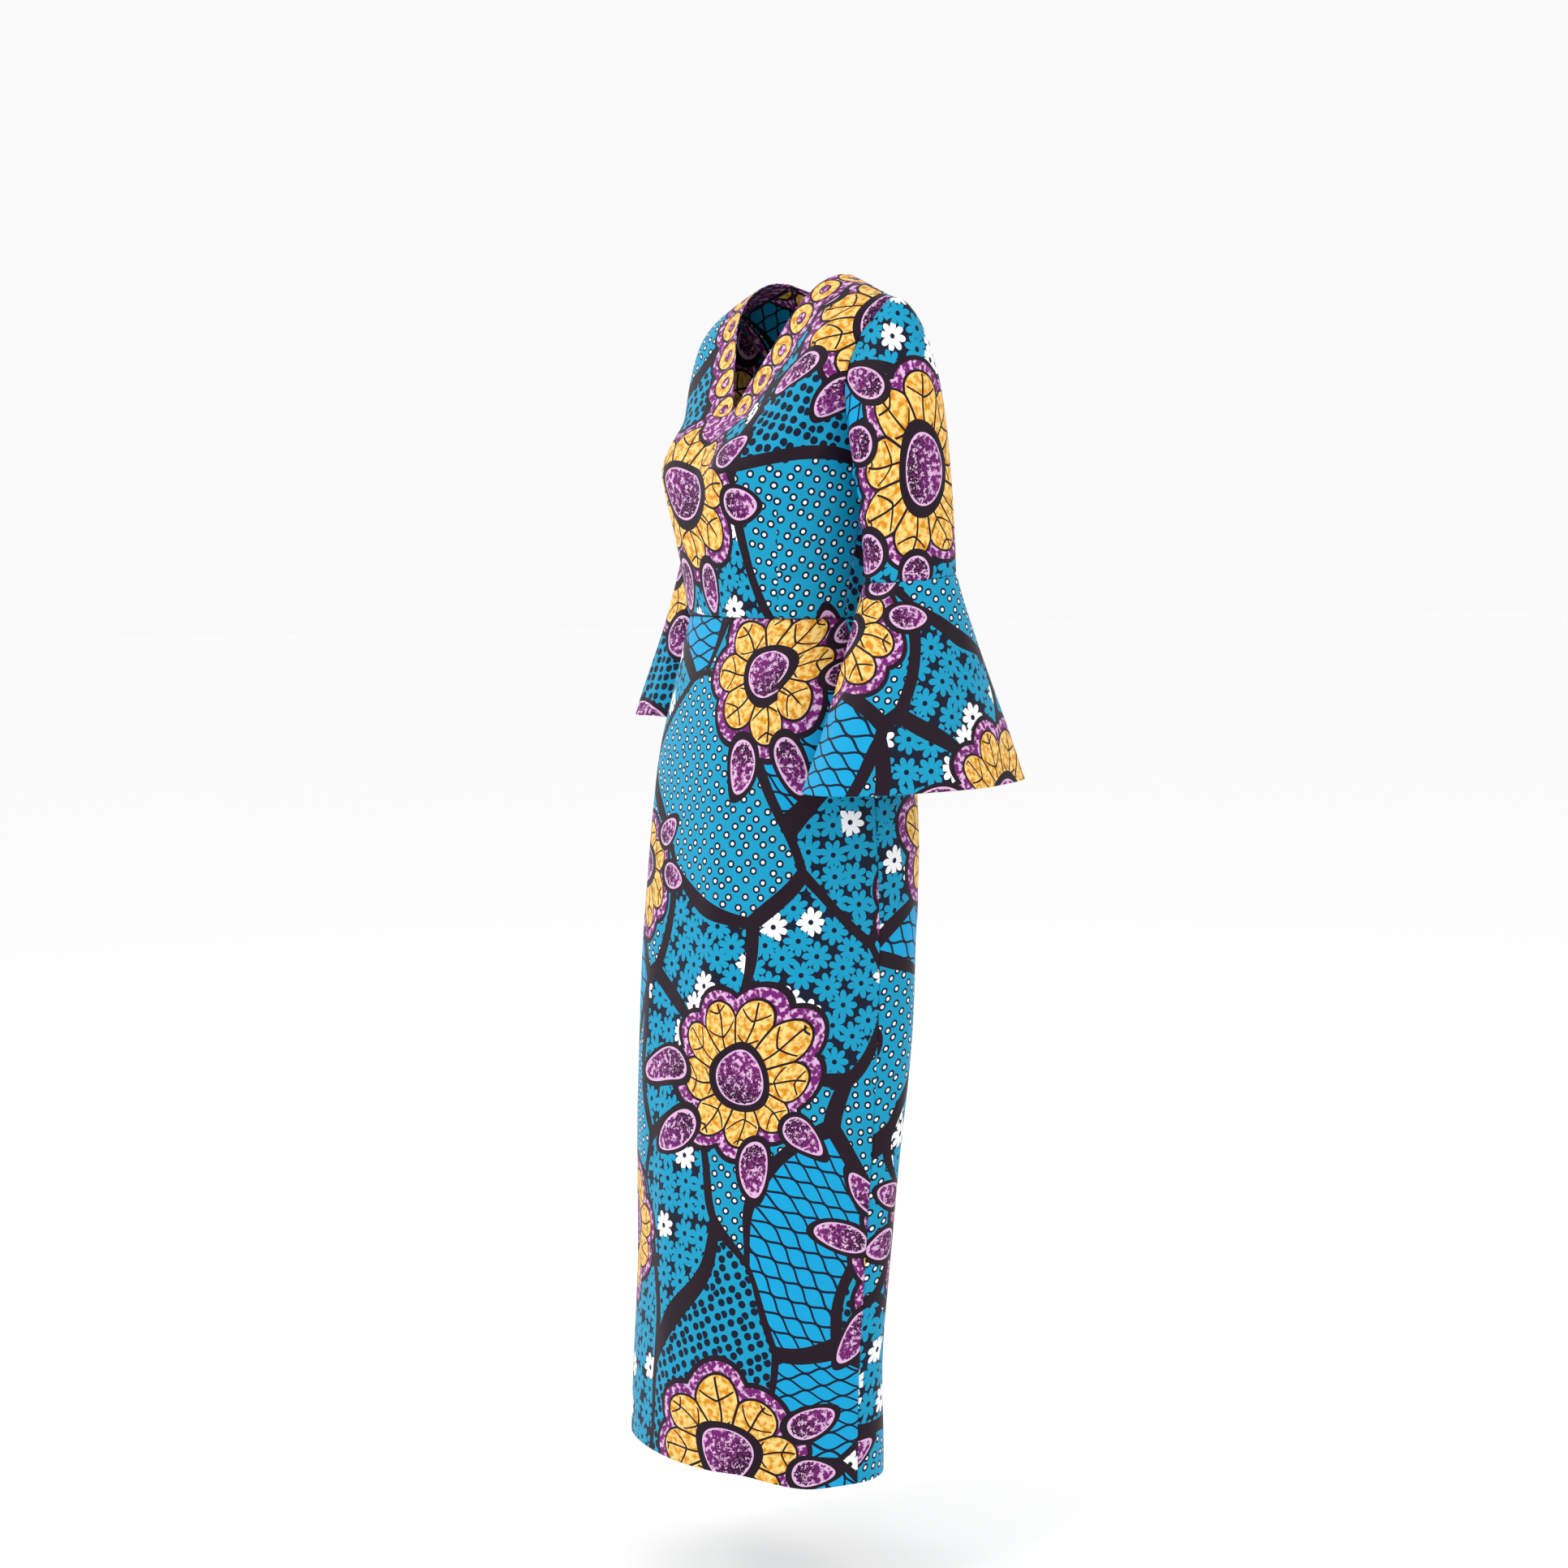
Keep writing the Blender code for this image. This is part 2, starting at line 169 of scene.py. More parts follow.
ELBOW = {"half_width": 0.0450, "half_depth": 0.0530}
BELL = {"inside": 0.040, "outside": 0.096, "front": 0.145, "back": 0.130}
WAVES = named("count depth turn", (3, 0.0050, 0.10), (5, 0.0035, 0.62))
print("sections:", len(FRONT_BODICE["in_x"]), "in the bodice,", len(SKIRT["z"]), "in the skirt")

# %% [markdown]
# A garment is drafted from curves through measured points, and so is this one. One function runs a
# smooth curve through a column of a table. A second bends a row of cloth between its two ends, like a
# tape held at both ends with a given heading.


# %% Smooth curves through the tables
def smooth(knots, values, at, corner=None):
    """A column's values between its knots, on a curve that is smooth through all rows but the corner."""
    step = np.diff(knots)
    rise = np.diff(values) / step
    slope = np.empty_like(values)
    slope[0], slope[-1] = rise[0], rise[-1]
    slope[1:-1] = (step[1:] * rise[:-1] + step[:-1] * rise[1:]) / (step[1:] + step[:-1])
    leaving, arriving = slope.copy(), slope.copy()
    if corner is not None:
        leaving[corner], arriving[corner] = rise[corner], rise[corner - 1]
    i = np.clip(np.searchsorted(knots, at, side="right") - 1, 0, len(step) - 1)
    t = (at - knots[i]) / step[i]
    return (
        (1 + 2 * t) * (1 - t) ** 2 * values[i]
        + t * (1 - t) ** 2 * step[i] * leaving[i]
        + t * t * (3 - 2 * t) * values[i + 1]
        + t * t * (t - 1) * step[i] * arriving[i + 1]
    )


def read(table, knots, at):
    """All columns of a table. A bodice's outer edge has its corner at the underarm."""
    corner = {name: UNDERARM if name.startswith("out") else None for name in table}
    return {name: smooth(knots, column, at, corner[name]) for name, column in table.items()}


def spacing(table):
    """Knots along a bodice table, by the lengths of its edges."""
    lengths = []
    for end in ("out", "in"):
        edge = np.stack([table[f"{end}_{axis}"] for axis in "xyz"], 1)
        lengths.append(np.linalg.norm(np.diff(edge, axis=0), axis=1))
    steps = np.where(np.arange(len(lengths[0])) < UNDERARM, lengths[0], (lengths[0] + lengths[1]) / 2)
    return np.concatenate([[0], np.cumsum(steps)])


def bow(start, end, leave, arrive, u):
    """Points on the curve between two ends that leaves and arrives with the given headings."""
    return (
        (1 + 2 * u) * (1 - u) ** 2 * start
        + u * (1 - u) ** 2 * leave
        + u * u * (3 - 2 * u) * end
        + u * u * (u - 1) * arrive
    )


FRONT_KNOTS = spacing(FRONT_BODICE)
BACK_KNOTS = spacing(BACK_BODICE)
print("side seam of the bodice:", round(FRONT_KNOTS[UNDERARM], 3), "m")

# %% [markdown]
# Each kind of piece is a surface with two directions, u across it and v along it, both from 0 to 1.
# They take whole grids of places at once, because a garment has a hundred thousand of them.


# %% The surfaces of the pieces
def up_the_armhole(knots, share):
    return knots[UNDERARM] + (knots[-1] - knots[UNDERARM]) * (1 - (1 - np.clip(share, 0, 1)) ** 1.4)


def bodice(table, knots, u, v):
    """Half a bodice: u runs out from the centre line or the neck, v up from the waist."""
    below = knots[UNDERARM] * v / UNDERARM_SHARE
    above = up_the_armhole(knots, (v - UNDERARM_SHARE) / (1 - UNDERARM_SHARE))
    row = read(table, knots, np.where(v <= UNDERARM_SHARE, below, above))
    start = np.stack([np.maximum(row["in_x"], 0), row["in_y"], row["in_z"]], -1)
    end = np.stack([row["out_x"], row["out_y"], row["out_z"]], -1)
    length = np.linalg.norm((end - start)[..., :2], axis=-1)
    headings = []
    for name in ("in", "out"):
        turn = np.radians(row[f"{name}_turn"])
        reach = row[f"{name}_bow"] * length
        rise = end[..., 2] - start[..., 2]
        headings.append(np.stack([reach * np.cos(turn), reach * np.sin(turn), rise], -1))
    return bow(start, end, headings[0], headings[1], u[..., None])


def front_bodice(u, v):
    points = bodice(FRONT_BODICE, FRONT_KNOTS, u, v)
    across = (points[..., 0] - BUST["x"]) / BUST["width"]
    along = (points[..., 2] - BUST["z"]) / BUST["height"]
    points[..., 1] -= BUST["depth"] * np.exp(-0.5 * (across**2 + along**2)) * (1 - u**4)
    return points


def back_bodice(u, v):
    return bodice(BACK_BODICE, BACK_KNOTS, u, v)


def skirt(face, u, v):
    """Half the front or back skirt: u runs from the centre line to the side seam, v down."""
    row = read(SKIRT, -SKIRT["z"], -(SKIRT["z"][0] + v * (DRESS_HEM - SKIRT["z"][0])))
    middle = np.stack([np.zeros_like(v), row[face]], -1)
    side = np.stack([row["half_width"], row["seam_y"]], -1)
    out = np.stack([row["fullness"] * row["half_width"], np.zeros_like(v)], -1)
    round_the_side = np.stack([np.zeros_like(v), row["fullness"] * (row["seam_y"] - row[face])], -1)
    flat = bow(middle, side, out, round_the_side, u[..., None])
    aside = np.ones_like(u) if face == "back" else np.clip((u - 0.45) / 0.40, 0, 1)
    drop = HEM_DROP * v**4 * aside * aside * (3 - 2 * aside)
    return np.concatenate([flat, (row["z"] - drop)[..., None]], -1)


def armhole(turn):
    """Points on the armhole: up its front from the underarm to the shoulder, then down its back."""
    points = []
    for table, knots, share in (
        (FRONT_BODICE, FRONT_KNOTS, 2 * turn), (BACK_BODICE, BACK_KNOTS, 2 - 2 * turn),
    ):
        row = read(table, knots, up_the_armhole(knots, share))
        points.append(np.stack([row["out_x"], row["out_y"], row["out_z"]], -1))
    return np.where((turn <= 0.5)[..., None], points[0], points[1])


def elbow_ring(arm, turn):
    """Points on the seam between a sleeve and its bell."""
    x, y, z = arm["elbow"]
    dx = -ELBOW["half_width"] * np.cos(2 * math.pi * turn)
    dy = -ELBOW["half_depth"] * np.sin(2 * math.pi * turn)
    return np.stack([x + dx, y + dy, z + arm["elbow_slope"] * dy], -1)


def sleeve(arm, u, v):
    """An upper sleeve: u turns round the arm, v runs down it."""
    head = read(SLEEVE_HEAD, SLEEVE_HEAD["turn"], u)
    heading = np.stack([head["x"], head["y"], head["z"]], -1)
    top = armhole(u) + SEAM_GAP * heading
    bottom = elbow_ring(arm, u) + np.array([0, 0, SEAM_GAP / 2])
    down = np.array([0.05, 0.0, -1.0]) * 0.26
    return bow(top, bottom, 3 * head["reach"][..., None] * heading, down, v[..., None])


def flounce(arm, u, v):
    """A bell: u turns round the arm, v runs down from the elbow seam to the hem."""
    top = elbow_ring(arm, u) - np.array([0, 0, SEAM_GAP / 2])
    angle = 2 * math.pi * u
    dx, dy = -np.cos(angle), -np.sin(angle)
    dx = dx * np.where(dx < 0, BELL["inside"], BELL["outside"])
    dy = dy * np.where(dy < 0, BELL["front"], BELL["back"])
    wave = sum(
        depth * np.cos(count * angle - 2 * math.pi * turn)
        for count, depth, turn in zip(WAVES["count"], WAVES["depth"], WAVES["turn"])
    )
    grow = 1 + wave * np.maximum(0, np.sin(math.pi * u)) / 0.11
    x, y, z = arm["bell"]
    bottom = np.stack([x + dx * grow, y + dy * grow, z + arm["bell_slope"] * dy], -1)
    fall = (bottom - top) * np.array([0.80, 0.80, 1.0])
    spread = (bottom - top) * np.array([1.10, 1.10, 1.0])
    return bow(top, bottom, fall, spread, v[..., None])


steps = np.diff(armhole(np.linspace(0, 1, 60)), axis=0)
print("armhole round:", round(float(np.linalg.norm(steps, axis=1).sum()), 3), "m")

# %% [markdown]
# A flat pattern is what a maker cuts. Each grid of points is laid out flat by its own lengths: across
# by the length along each row, and up by what is left of each step once its sideways part is taken
# off. The bodice and the sleeves curve both ways, so theirs is then eased. The flat layout places the
# print, and it gives the size of the cut.


# %% Grids of places, and their flat pattern
CLOSE_TO_SEAM = np.array([0.0012, 0.0030])


def places(length, step, seams=()):
    """Places from 0 to 1 about a step apart, with a few more close to each seam line between them."""
    even = np.linspace(0, 1, max(2, round(length / step)) + 1)
    found = [even]
    for seam in seams:
        found += [[seam], seam + CLOSE_TO_SEAM / length, seam - CLOSE_TO_SEAM / length]
    found = np.unique(np.concatenate(found).clip(0, 1).round(6))
    keep = [0]
    for i in range(1, len(found)):
        if found[i] - found[keep[-1]] > 0.0008 / length:
            keep.append(i)
    return found[keep]


def lengths_across(points):
    steps = np.linalg.norm(np.diff(points, axis=1), axis=-1)
    return np.concatenate([np.zeros((len(points), 1)), np.cumsum(steps, axis=1)], 1)


def lengths_along(points, across):
    steps = np.linalg.norm(np.diff(points, axis=0), axis=-1)
    sideways = np.diff(across, axis=0)
    straight = np.sqrt(np.maximum(steps**2 - sideways**2, (0.3 * steps) ** 2))
    return np.concatenate([np.zeros((1, points.shape[1])), np.cumsum(straight, axis=0)])


def outward(points):
    """The direction out of the cloth at each point of a grid."""
    normal = np.cross(np.gradient(points, axis=1), np.gradient(points, axis=0))
    return normal / np.maximum(np.linalg.norm(normal, axis=-1, keepdims=True), 1e-12)


def area_of(flat):
    """The area of a flat grid."""
    a, b, c, d = flat[:-1, :-1], flat[:-1, 1:], flat[1:, 1:], flat[1:, :-1]
    p, q = c - a, d - b
    return float(np.abs(p[..., 0] * q[..., 1] - p[..., 1] * q[..., 0]).sum() / 2)


# %% [markdown]
# Stiff wax cotton hangs smooth. What breaks it is the making: a seam draws its edges in and puckers
# them a little, a dart leaves a fine line, and where the arm bends the cloth has a few soft
# creases. Creases are placed on the flat pattern, each row of a table being one crease, so that no
# two are alike.


# %% Soft creases, seams and puckers
SEAM_WIDTH = 0.0016
PUCKER_REACH = 0.006
DART_DEPTH, DART_WIDTH = 0.0010, 0.0015


def creases(flat, table):
    """How far the creases of a table push the cloth out, at each place of its flat pattern."""
    push = np.zeros(flat.shape[:2])
    for x0, y0, x1, y1, bend, width, depth in zip(*table.values()):
        start, along = np.array([x0, y0]), np.array([x1 - x0, y1 - y0])
        length = np.hypot(*along)
        side = np.array([-along[1], along[0]]) / length
        offset = flat - start
        share = np.clip(offset @ along / length**2, 0, 1)
        middle = start + share[..., None] * along + (bend * np.sin(math.pi * share))[..., None] * side
        away = np.linalg.norm(flat - middle, axis=-1) / width
        push += depth * np.sin(math.pi * (0.02 + 0.96 * share)) * np.exp(-away**2)
    return push


def drift(flat, depth, turn):
    """A slow unevenness all over the cloth."""
    x, y = flat[..., 0], flat[..., 1]
    return depth * (
        np.sin(31 * x + 11 * y + turn) + 0.7 * np.sin(-17 * x + 27 * y + 2.1 * turn)
        + 0.5 * np.sin(53 * x - 19 * y + 3.7 * turn)
    )


def drawn_in(away, along, depth=0.0012, pucker=0.0003):
    """How far a seam pulls the cloth in, by the distance from it and the place along it."""
    waves = np.sin(along / 0.0047) + 0.6 * np.sin(along / 0.0031 + 1.3)
    return -depth * np.exp(-((away / SEAM_WIDTH) ** 2)) + pucker * waves * np.exp(-away / PUCKER_REACH)


def darted(us, flat, across, along, dart, side):
    """A dart: the fine line that it leaves, and the flat pattern of each column of faces, which is
    shifted past the dart by the cloth that it takes in."""
    column = int(np.argmin(np.abs(us - dart["column"])))
    left = np.clip(1 - along / dart["height"], 0, 1)
    shifted = flat + np.stack([side * dart["intake"] * left, 0 * along], -1)
    line = np.abs(across - across[:, column : column + 1])
    dip = DART_DEPTH * left**0.5 * np.exp(-((line / DART_WIDTH) ** 2))
    return dip, lambda i: shifted if i >= column else flat


# %% [markdown]
# Every piece starts from a grid. Its points are moved onto the surface, and the flat pattern is kept
# as the piece's own UV map, in metres. A tube such as a sleeve is closed by merging its two long
# edges, which keeps both edges' places on the print, so that the print breaks at the seam as real
# cloth does. Solidify then gives the cloth its half millimetre.

# %% A grid of cloth
CLOTH = 0.0005
TURNED_IN = 0.0011
FAR_FROM_NECK = (0.0, 1.0)
pieces = {}


def eased(points, flat, fold=None, rounds=700):
    """Ease a flat pattern. Each small four-sided patch of the surface is laid flat in its own shape,
    turned as the pattern has it, and patches that share a corner meet halfway."""
    corners = np.s_[:-1, :-1], np.s_[1:, :-1], np.s_[1:, 1:], np.s_[:-1, 1:]
    patch = np.stack([points[corner] for corner in corners])
    patch = patch - patch.mean(0)
    ahead, other = patch[2] - patch[0], patch[3] - patch[1]
    ahead = ahead / np.maximum(np.linalg.norm(ahead, axis=-1, keepdims=True), 1e-12)
    out = np.cross(ahead, other)
    out = out / np.maximum(np.linalg.norm(out, axis=-1, keepdims=True), 1e-12)
    drawn = flat[..., 0] + 1j * flat[..., 1]
    now = np.stack([drawn[corner] for corner in corners])
    hand = np.sign(((now[2] - now[0]).conj() * (now[3] - now[1])).imag.sum())
    shape = (patch * ahead).sum(-1) + 1j * hand * (patch * np.cross(out, ahead)).sum(-1)
    share = np.zeros(drawn.shape)
    for corner in corners:
        share[corner] += 1
    for _ in range(rounds):
        now = np.stack([drawn[corner] for corner in corners])
        middle = now.mean(0)
        turn = (shape.conj() * (now - middle)).sum(0)
        laid = middle + shape * (turn / np.maximum(abs(turn), 1e-15))
        met = np.zeros_like(drawn)
        for corner, place in zip(corners, laid):
            met[corner] += place
        drawn = drawn + 1.5 * (met / share - drawn)
        if fold is not None:
            drawn[fold, 0] = 1j * drawn[fold, 0].imag
    return np.stack([drawn.real, drawn.imag], -1)


def settled(push, *aways):
    """Soft unevenness fades out at the seams, where two pieces are held together."""
    for away in aways:
        push = push * (1 - np.exp(-((away / PUCKER_REACH) ** 2)))
    return push


def moved(points, push, centre=(0.0, 0.0), on_fold=None):
    """Push a grid of points out of the cloth, and give the way out at each. Points on the fold of a
    piece stay on the mirror plane."""
    normal = outward(points)
    away = points[..., :2] - np.array(centre)
    if (normal[..., :2] * away).sum() < 0:
        normal = -normal
    if on_fold is not None:
        normal[on_fold, 0, 0] = 0
        normal[on_fold, 0] /= np.linalg.norm(normal[on_fold, 0], axis=-1, keepdims=True)
    return points + normal * push[..., None], normal


def turning(grids, edge, depth=0.012, rows=slice(None)):
    """The strip that is turned in at one edge of a grid: over a fold, then back inside the cloth.
    Each grid is led so that the edge is its first row: points, ways out, flat pattern and neck."""
    lead = {
        "bottom": lambda grid: grid[:, rows],
        "top": lambda grid: grid[::-1][:, rows],
        "inner": lambda grid: grid[rows].swapaxes(0, 1),
        "outer": lambda grid: grid[rows, ::-1].swapaxes(0, 1),
    }[edge]
    points, normal, flat, neck = (None if grid is None else lead(grid) for grid in grids)
    away = np.concatenate([[0], np.cumsum(np.linalg.norm(np.diff(points, axis=0), axis=-1).mean(1))])
    picks = np.unique(np.searchsorted(away, depth * np.array([0.12, 0.4, 0.7, 1.0])))
    out = points[0] - points[1]
    out /= np.linalg.norm(out, axis=-1, keepdims=True)
    strip = [points[0], points[0] + 0.0004 * out - 0.5 * TURNED_IN * normal[0]]
    strip += [points[pick] - TURNED_IN * normal[pick] for pick in picks]
    beyond = flat[0] - flat[1]
    beyond /= np.linalg.norm(beyond, axis=-1, keepdims=True)
    pattern = [flat[0], flat[0] + 0.0006 * beyond] + [2 * flat[0] - flat[pick] for pick in picks]
    if neck is not None:
        steps = np.concatenate([[0, 0.0006], away[picks]])
        neck = np.stack([np.stack([neck[0, :, 0], 0 * neck[0, :, 0] - step], -1) for step in steps])
    return np.stack(strip), np.stack(pattern), neck


def add_grid(bm, points, flat, neck=None, beyond=None):
    """Add one grid of cloth to a bmesh, with its flat pattern as the UV map cut, in metres. Past a
    dart the faces take the shifted pattern that beyond(column) gives. The UV map neck holds the
    place along the neckline and the distance from it."""
    rows, columns = points.shape[:2]
    made = bmesh.ops.create_grid(bm, x_segments=columns - 1, y_segments=rows - 1, size=0.5)["verts"]
    cells = {}
    for vert in made:
        i = round((vert.co.x + 0.5) * (columns - 1))
        j = round((vert.co.y + 0.5) * (rows - 1))
        cells[vert] = (j, i)
        vert.co = points[j, i]
    cut = bm.loops.layers.uv.get("cut") or bm.loops.layers.uv.new("cut")
    neck_map = bm.loops.layers.uv.get("neck") or bm.loops.layers.uv.new("neck")
    for face in {face for vert in made for face in vert.link_faces}:
        pattern = flat if beyond is None else beyond(min(cells[vert][1] for vert in face.verts))
        for loop in face.loops:
            loop[cut].uv = pattern[cells[loop.vert]]
            loop[neck_map].uv = FAR_FROM_NECK if neck is None else neck[cells[loop.vert]]


def keep(name, grids, centre, node, slot):
    """Join the grids of a piece, turn its faces outwards, and let it ride in its solid's place."""
    bm = bmesh.new()
    for grid in grids:
        add_grid(bm, *grid)
    bmesh.ops.remove_doubles(bm, verts=bm.verts, dist=0.00001)
    bmesh.ops.recalc_face_normals(bm, faces=bm.faces)
    facing = 0.0
    for face in bm.faces:
        middle = face.calc_center_median()
        away = (middle.x - centre[0], middle.y - centre[1], 0.0)
        facing += face.normal.dot(away) * face.calc_area()
    if facing < 0:
        bmesh.ops.reverse_faces(bm, faces=bm.faces)
    mesh = bpy.data.meshes.new(name)
    bm.to_mesh(mesh)
    bm.free()
    mesh.shade_smooth()
    piece = bpy.data.objects.new(name, mesh)
    bpy.context.scene.collection.objects.link(piece)
    wall = piece.modifiers.new("Cloth", "SOLIDIFY")
    wall.thickness = CLOTH
    wall.offset = -1
    flats = [grid[1] for grid in grids]
    area = sum(area_of(flat) for flat in flats)
    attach(piece, "root")
    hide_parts(node)
    pieces[name] = piece


def mirrored(grids, side, shift):
    """The same grids on one side of the dress, moved off the seam."""
    flip = np.array([side, 1, 1])
    return [(points * flip + np.array(shift), *rest) for points, *rest in grids]


def keep_tube(kind, name, side, points, flat, push, centre, hem=0.012):
    """Push the cloth of a tube out, close it, turn in its two ends and keep it."""
    points, normal = moved(points, push, centre)
    points[:, -1] = points[:, 0]
    cloth = (points, normal, flat, None)
    grids = [(points, flat), turning(cloth, "bottom")[:2], turning(cloth, "top", hem)[:2]]
    grids = mirrored(grids, side, (side * SEAM_GAP, 0, 0))
    keep(f"{kind}_cloth_{name}", grids, (side * centre[0], centre[1]), f"{kind}_{name}", kind)


# %% [markdown]
# The bodice front is one piece, cut on the fold. Its two halves share the centre line below the V and
# part above it, so each half is a grid of its own and the shared line is merged. A dart under each
# side of the bust takes the waist in. Cloth beyond a dart lies further out on the flat pattern, so
# the print jumps there. The back is two halves that meet in a seam, with the closure inside it.

# %% The bodice
STEP = 0.0042
BODICE_SIZE = (0.20, 0.40)
DART = {"column": 0.56, "height": 0.128, "intake": 0.026}
BACK_DART = {"column": 0.50, "height": 0.140, "intake": 0.018}
BODICE_CREASES = named(
    "x0 y0 x1 y1 bend width depth",
    (0.185, 0.262, 0.110, 0.190, 0.008, 0.0075, 0.0022),
    (0.190, 0.232, 0.122, 0.166, 0.006, 0.0065, -0.0020),
    (0.188, 0.200, 0.130, 0.146, 0.005, 0.0070, 0.0018),
    (0.060, 0.012, 0.150, 0.022, -0.003, 0.0055, 0.0018),
    (0.090, 0.032, 0.175, 0.044, 0.003, 0.0065, -0.0018),
    (0.100, 0.054, 0.180, 0.070, -0.003, 0.0075, 0.0014),
    (0.010, 0.018, 0.070, 0.030, 0.002, 0.0055, -0.0012),
    (0.030, 0.095, 0.062, 0.170, 0.005, 0.0100, 0.0016),
    (-0.180, 0.250, -0.100, 0.200, -0.008, 0.0075, 0.0021),
    (-0.182, 0.214, -0.118, 0.158, -0.004, 0.0065, -0.0020),
    (-0.070, 0.014, -0.160, 0.028, 0.003, 0.0060, 0.0018),
    (-0.095, 0.036, -0.172, 0.054, -0.004, 0.0065, -0.0016),
    (-0.034, 0.080, -0.056, 0.160, -0.005, 0.0100, 0.0014),
    (0.095, 0.330, 0.150, 0.296, 0.004, 0.0090, 0.0016),
    (-0.090, 0.335, -0.146, 0.286, -0.005, 0.0090, 0.0016),
)
BACK_CREASES = named(
    "x0 y0 x1 y1 bend width depth",
    (0.020, 0.022, 0.120, 0.034, 0.004, 0.0070, 0.0024),
    (0.026, 0.050, 0.128, 0.064, -0.004, 0.0075, -0.0022),
    (0.018, 0.084, 0.110, 0.090, 0.005, 0.0085, 0.0018),
    (0.160, 0.210, 0.080, 0.240, 0.006, 0.0090, 0.0018),
    (0.165, 0.176, 0.090, 0.180, 0.004, 0.0090, -0.0016),
    (0.060, 0.120, 0.074, 0.210, 0.005, 0.0110, 0.0016),
    (-0.018, 0.028, -0.112, 0.024, -0.003, 0.0070, 0.0024),
    (-0.030, 0.056, -0.132, 0.072, 0.005, 0.0075, -0.0022),
    (-0.022, 0.090, -0.090, 0.104, -0.004, 0.0085, 0.0018),
    (-0.158, 0.196, -0.085, 0.244, -0.006, 0.0090, 0.0018),
    (-0.056, 0.130, -0.080, 0.205, -0.005, 0.0110, -0.0015),
)


def neck_places(points, open_rows, start, backwards):
    """For each point, the place along the neck edge and the distance from it. Behind, the edge is
    taken straight over the short slit at the top of the closure."""
    rim = points[open_rows, 0]
    if backwards:
        rim = rim[rim[:, 0] > 0.008]
        rim = np.concatenate([rim[:1] * (0, 1, 1), rim])
    steps = np.concatenate([[0], np.cumsum(np.linalg.norm(np.diff(rim, axis=0), axis=1))])
    fine = np.linspace(0, steps[-1], 400)
    rim = np.stack([np.interp(fine, steps, rim[:, axis]) for axis in range(3)], -1)
    found = np.empty(points.shape[:2] + (2,))
    for row, line in zip(found, points):
        away = np.linalg.norm(line[:, None] - rim[None], axis=-1)
        nearest = away.argmin(1)
        row[:, 0] = start + (steps[-1] - fine[nearest] if backwards else fine[nearest])
        row[:, 1] = away.min(1)
    return found, steps[-1]


def bodice_half(surface, side, dart, table, on_fold, neck_start):
    """The grids of half a bodice: the cloth, and the strips turned in at its edges."""
    us = places(BODICE_SIZE[0], STEP, [1.0, dart["column"]] + ([] if on_fold else [0.0]))
    vs = places(BODICE_SIZE[1], STEP, [0.0, UNDERARM_SHARE, 1.0])
    u, v = np.meshgrid(us, vs)
    points = surface(u, v)
    closed = points[:, 0, 0] <= 1e-6
    open_rows = ~closed
    open_rows[np.argmax(open_rows) - 1] = True
    neck, neck_length = neck_places(points, open_rows, neck_start, not on_fold)
    across = lengths_across(points) + points[:, :1, 0]
    along = lengths_along(points, across)
    flat = eased(points, np.stack([across, along], -1), closed) * np.array([side, 1])
    dip, pattern_at = darted(us, flat, across, along, dart, side)
    to_side, to_shoulder = across[:, -1:] - across, along[-1:] - along
    push = settled(creases(flat, table) + drift(flat, 0.0004, 1.0), to_side, along, to_shoulder)
    push += drawn_in(to_side, along, 0.0009) + drawn_in(along, across)
    push += drawn_in(to_shoulder, across, 0.0006)
    push -= dip
    if not on_fold:
        push += drawn_in(across - across[:, :1], along) * closed[:, None]
    points, normal = moved(points, push, on_fold=closed if on_fold else None)
    grids = (points, normal, flat, neck)
    strips = [turning(grids, "outer"), turning(grids, "bottom"), turning(grids, "top")]
    strips.append(turning(grids, "inner", rows=open_rows))
    if not on_fold:
        strips.append(turning(grids, "inner", rows=~open_rows | (np.cumsum(open_rows) == 1)))
    return [(points, flat, neck, pattern_at)] + strips, neck_length


grids = []
for side in (1, -1):
    half, front_neck = bodice_half(front_bodice, side, DART, BODICE_CREASES, True, 0.0)
    grids += mirrored(half, side, (0, -SEAM_GAP / 2, 0))
keep("front_bodice_cloth", grids, (0.0, 0.0), "bodice_front", "bodice_front")

for name, arm in ARMS.items():
    side = arm["side"]
    half, back_neck = bodice_half(back_bodice, side, BACK_DART, BACK_CREASES, False, front_neck)
    grids = mirrored(half, side, (side * SEAM_GAP / 2, SEAM_GAP / 2, 0))
    keep(f"back_bodice_cloth_{name}", grids, (0.0, 0.0), f"bodice_back_{name}", "bodice_back")
half_neck = front_neck + back_neck
print(f"half the neckline: {half_neck:.3f} m")

# %% [markdown]
# The skirt is a straight column. A maker cuts its front in one and its back in two, with a dart in
# each quarter, and turns up the hem. Hem and seam allowances are strips of the same cloth here too:
# they go over a fold at the edge and back up inside, where they show from below.

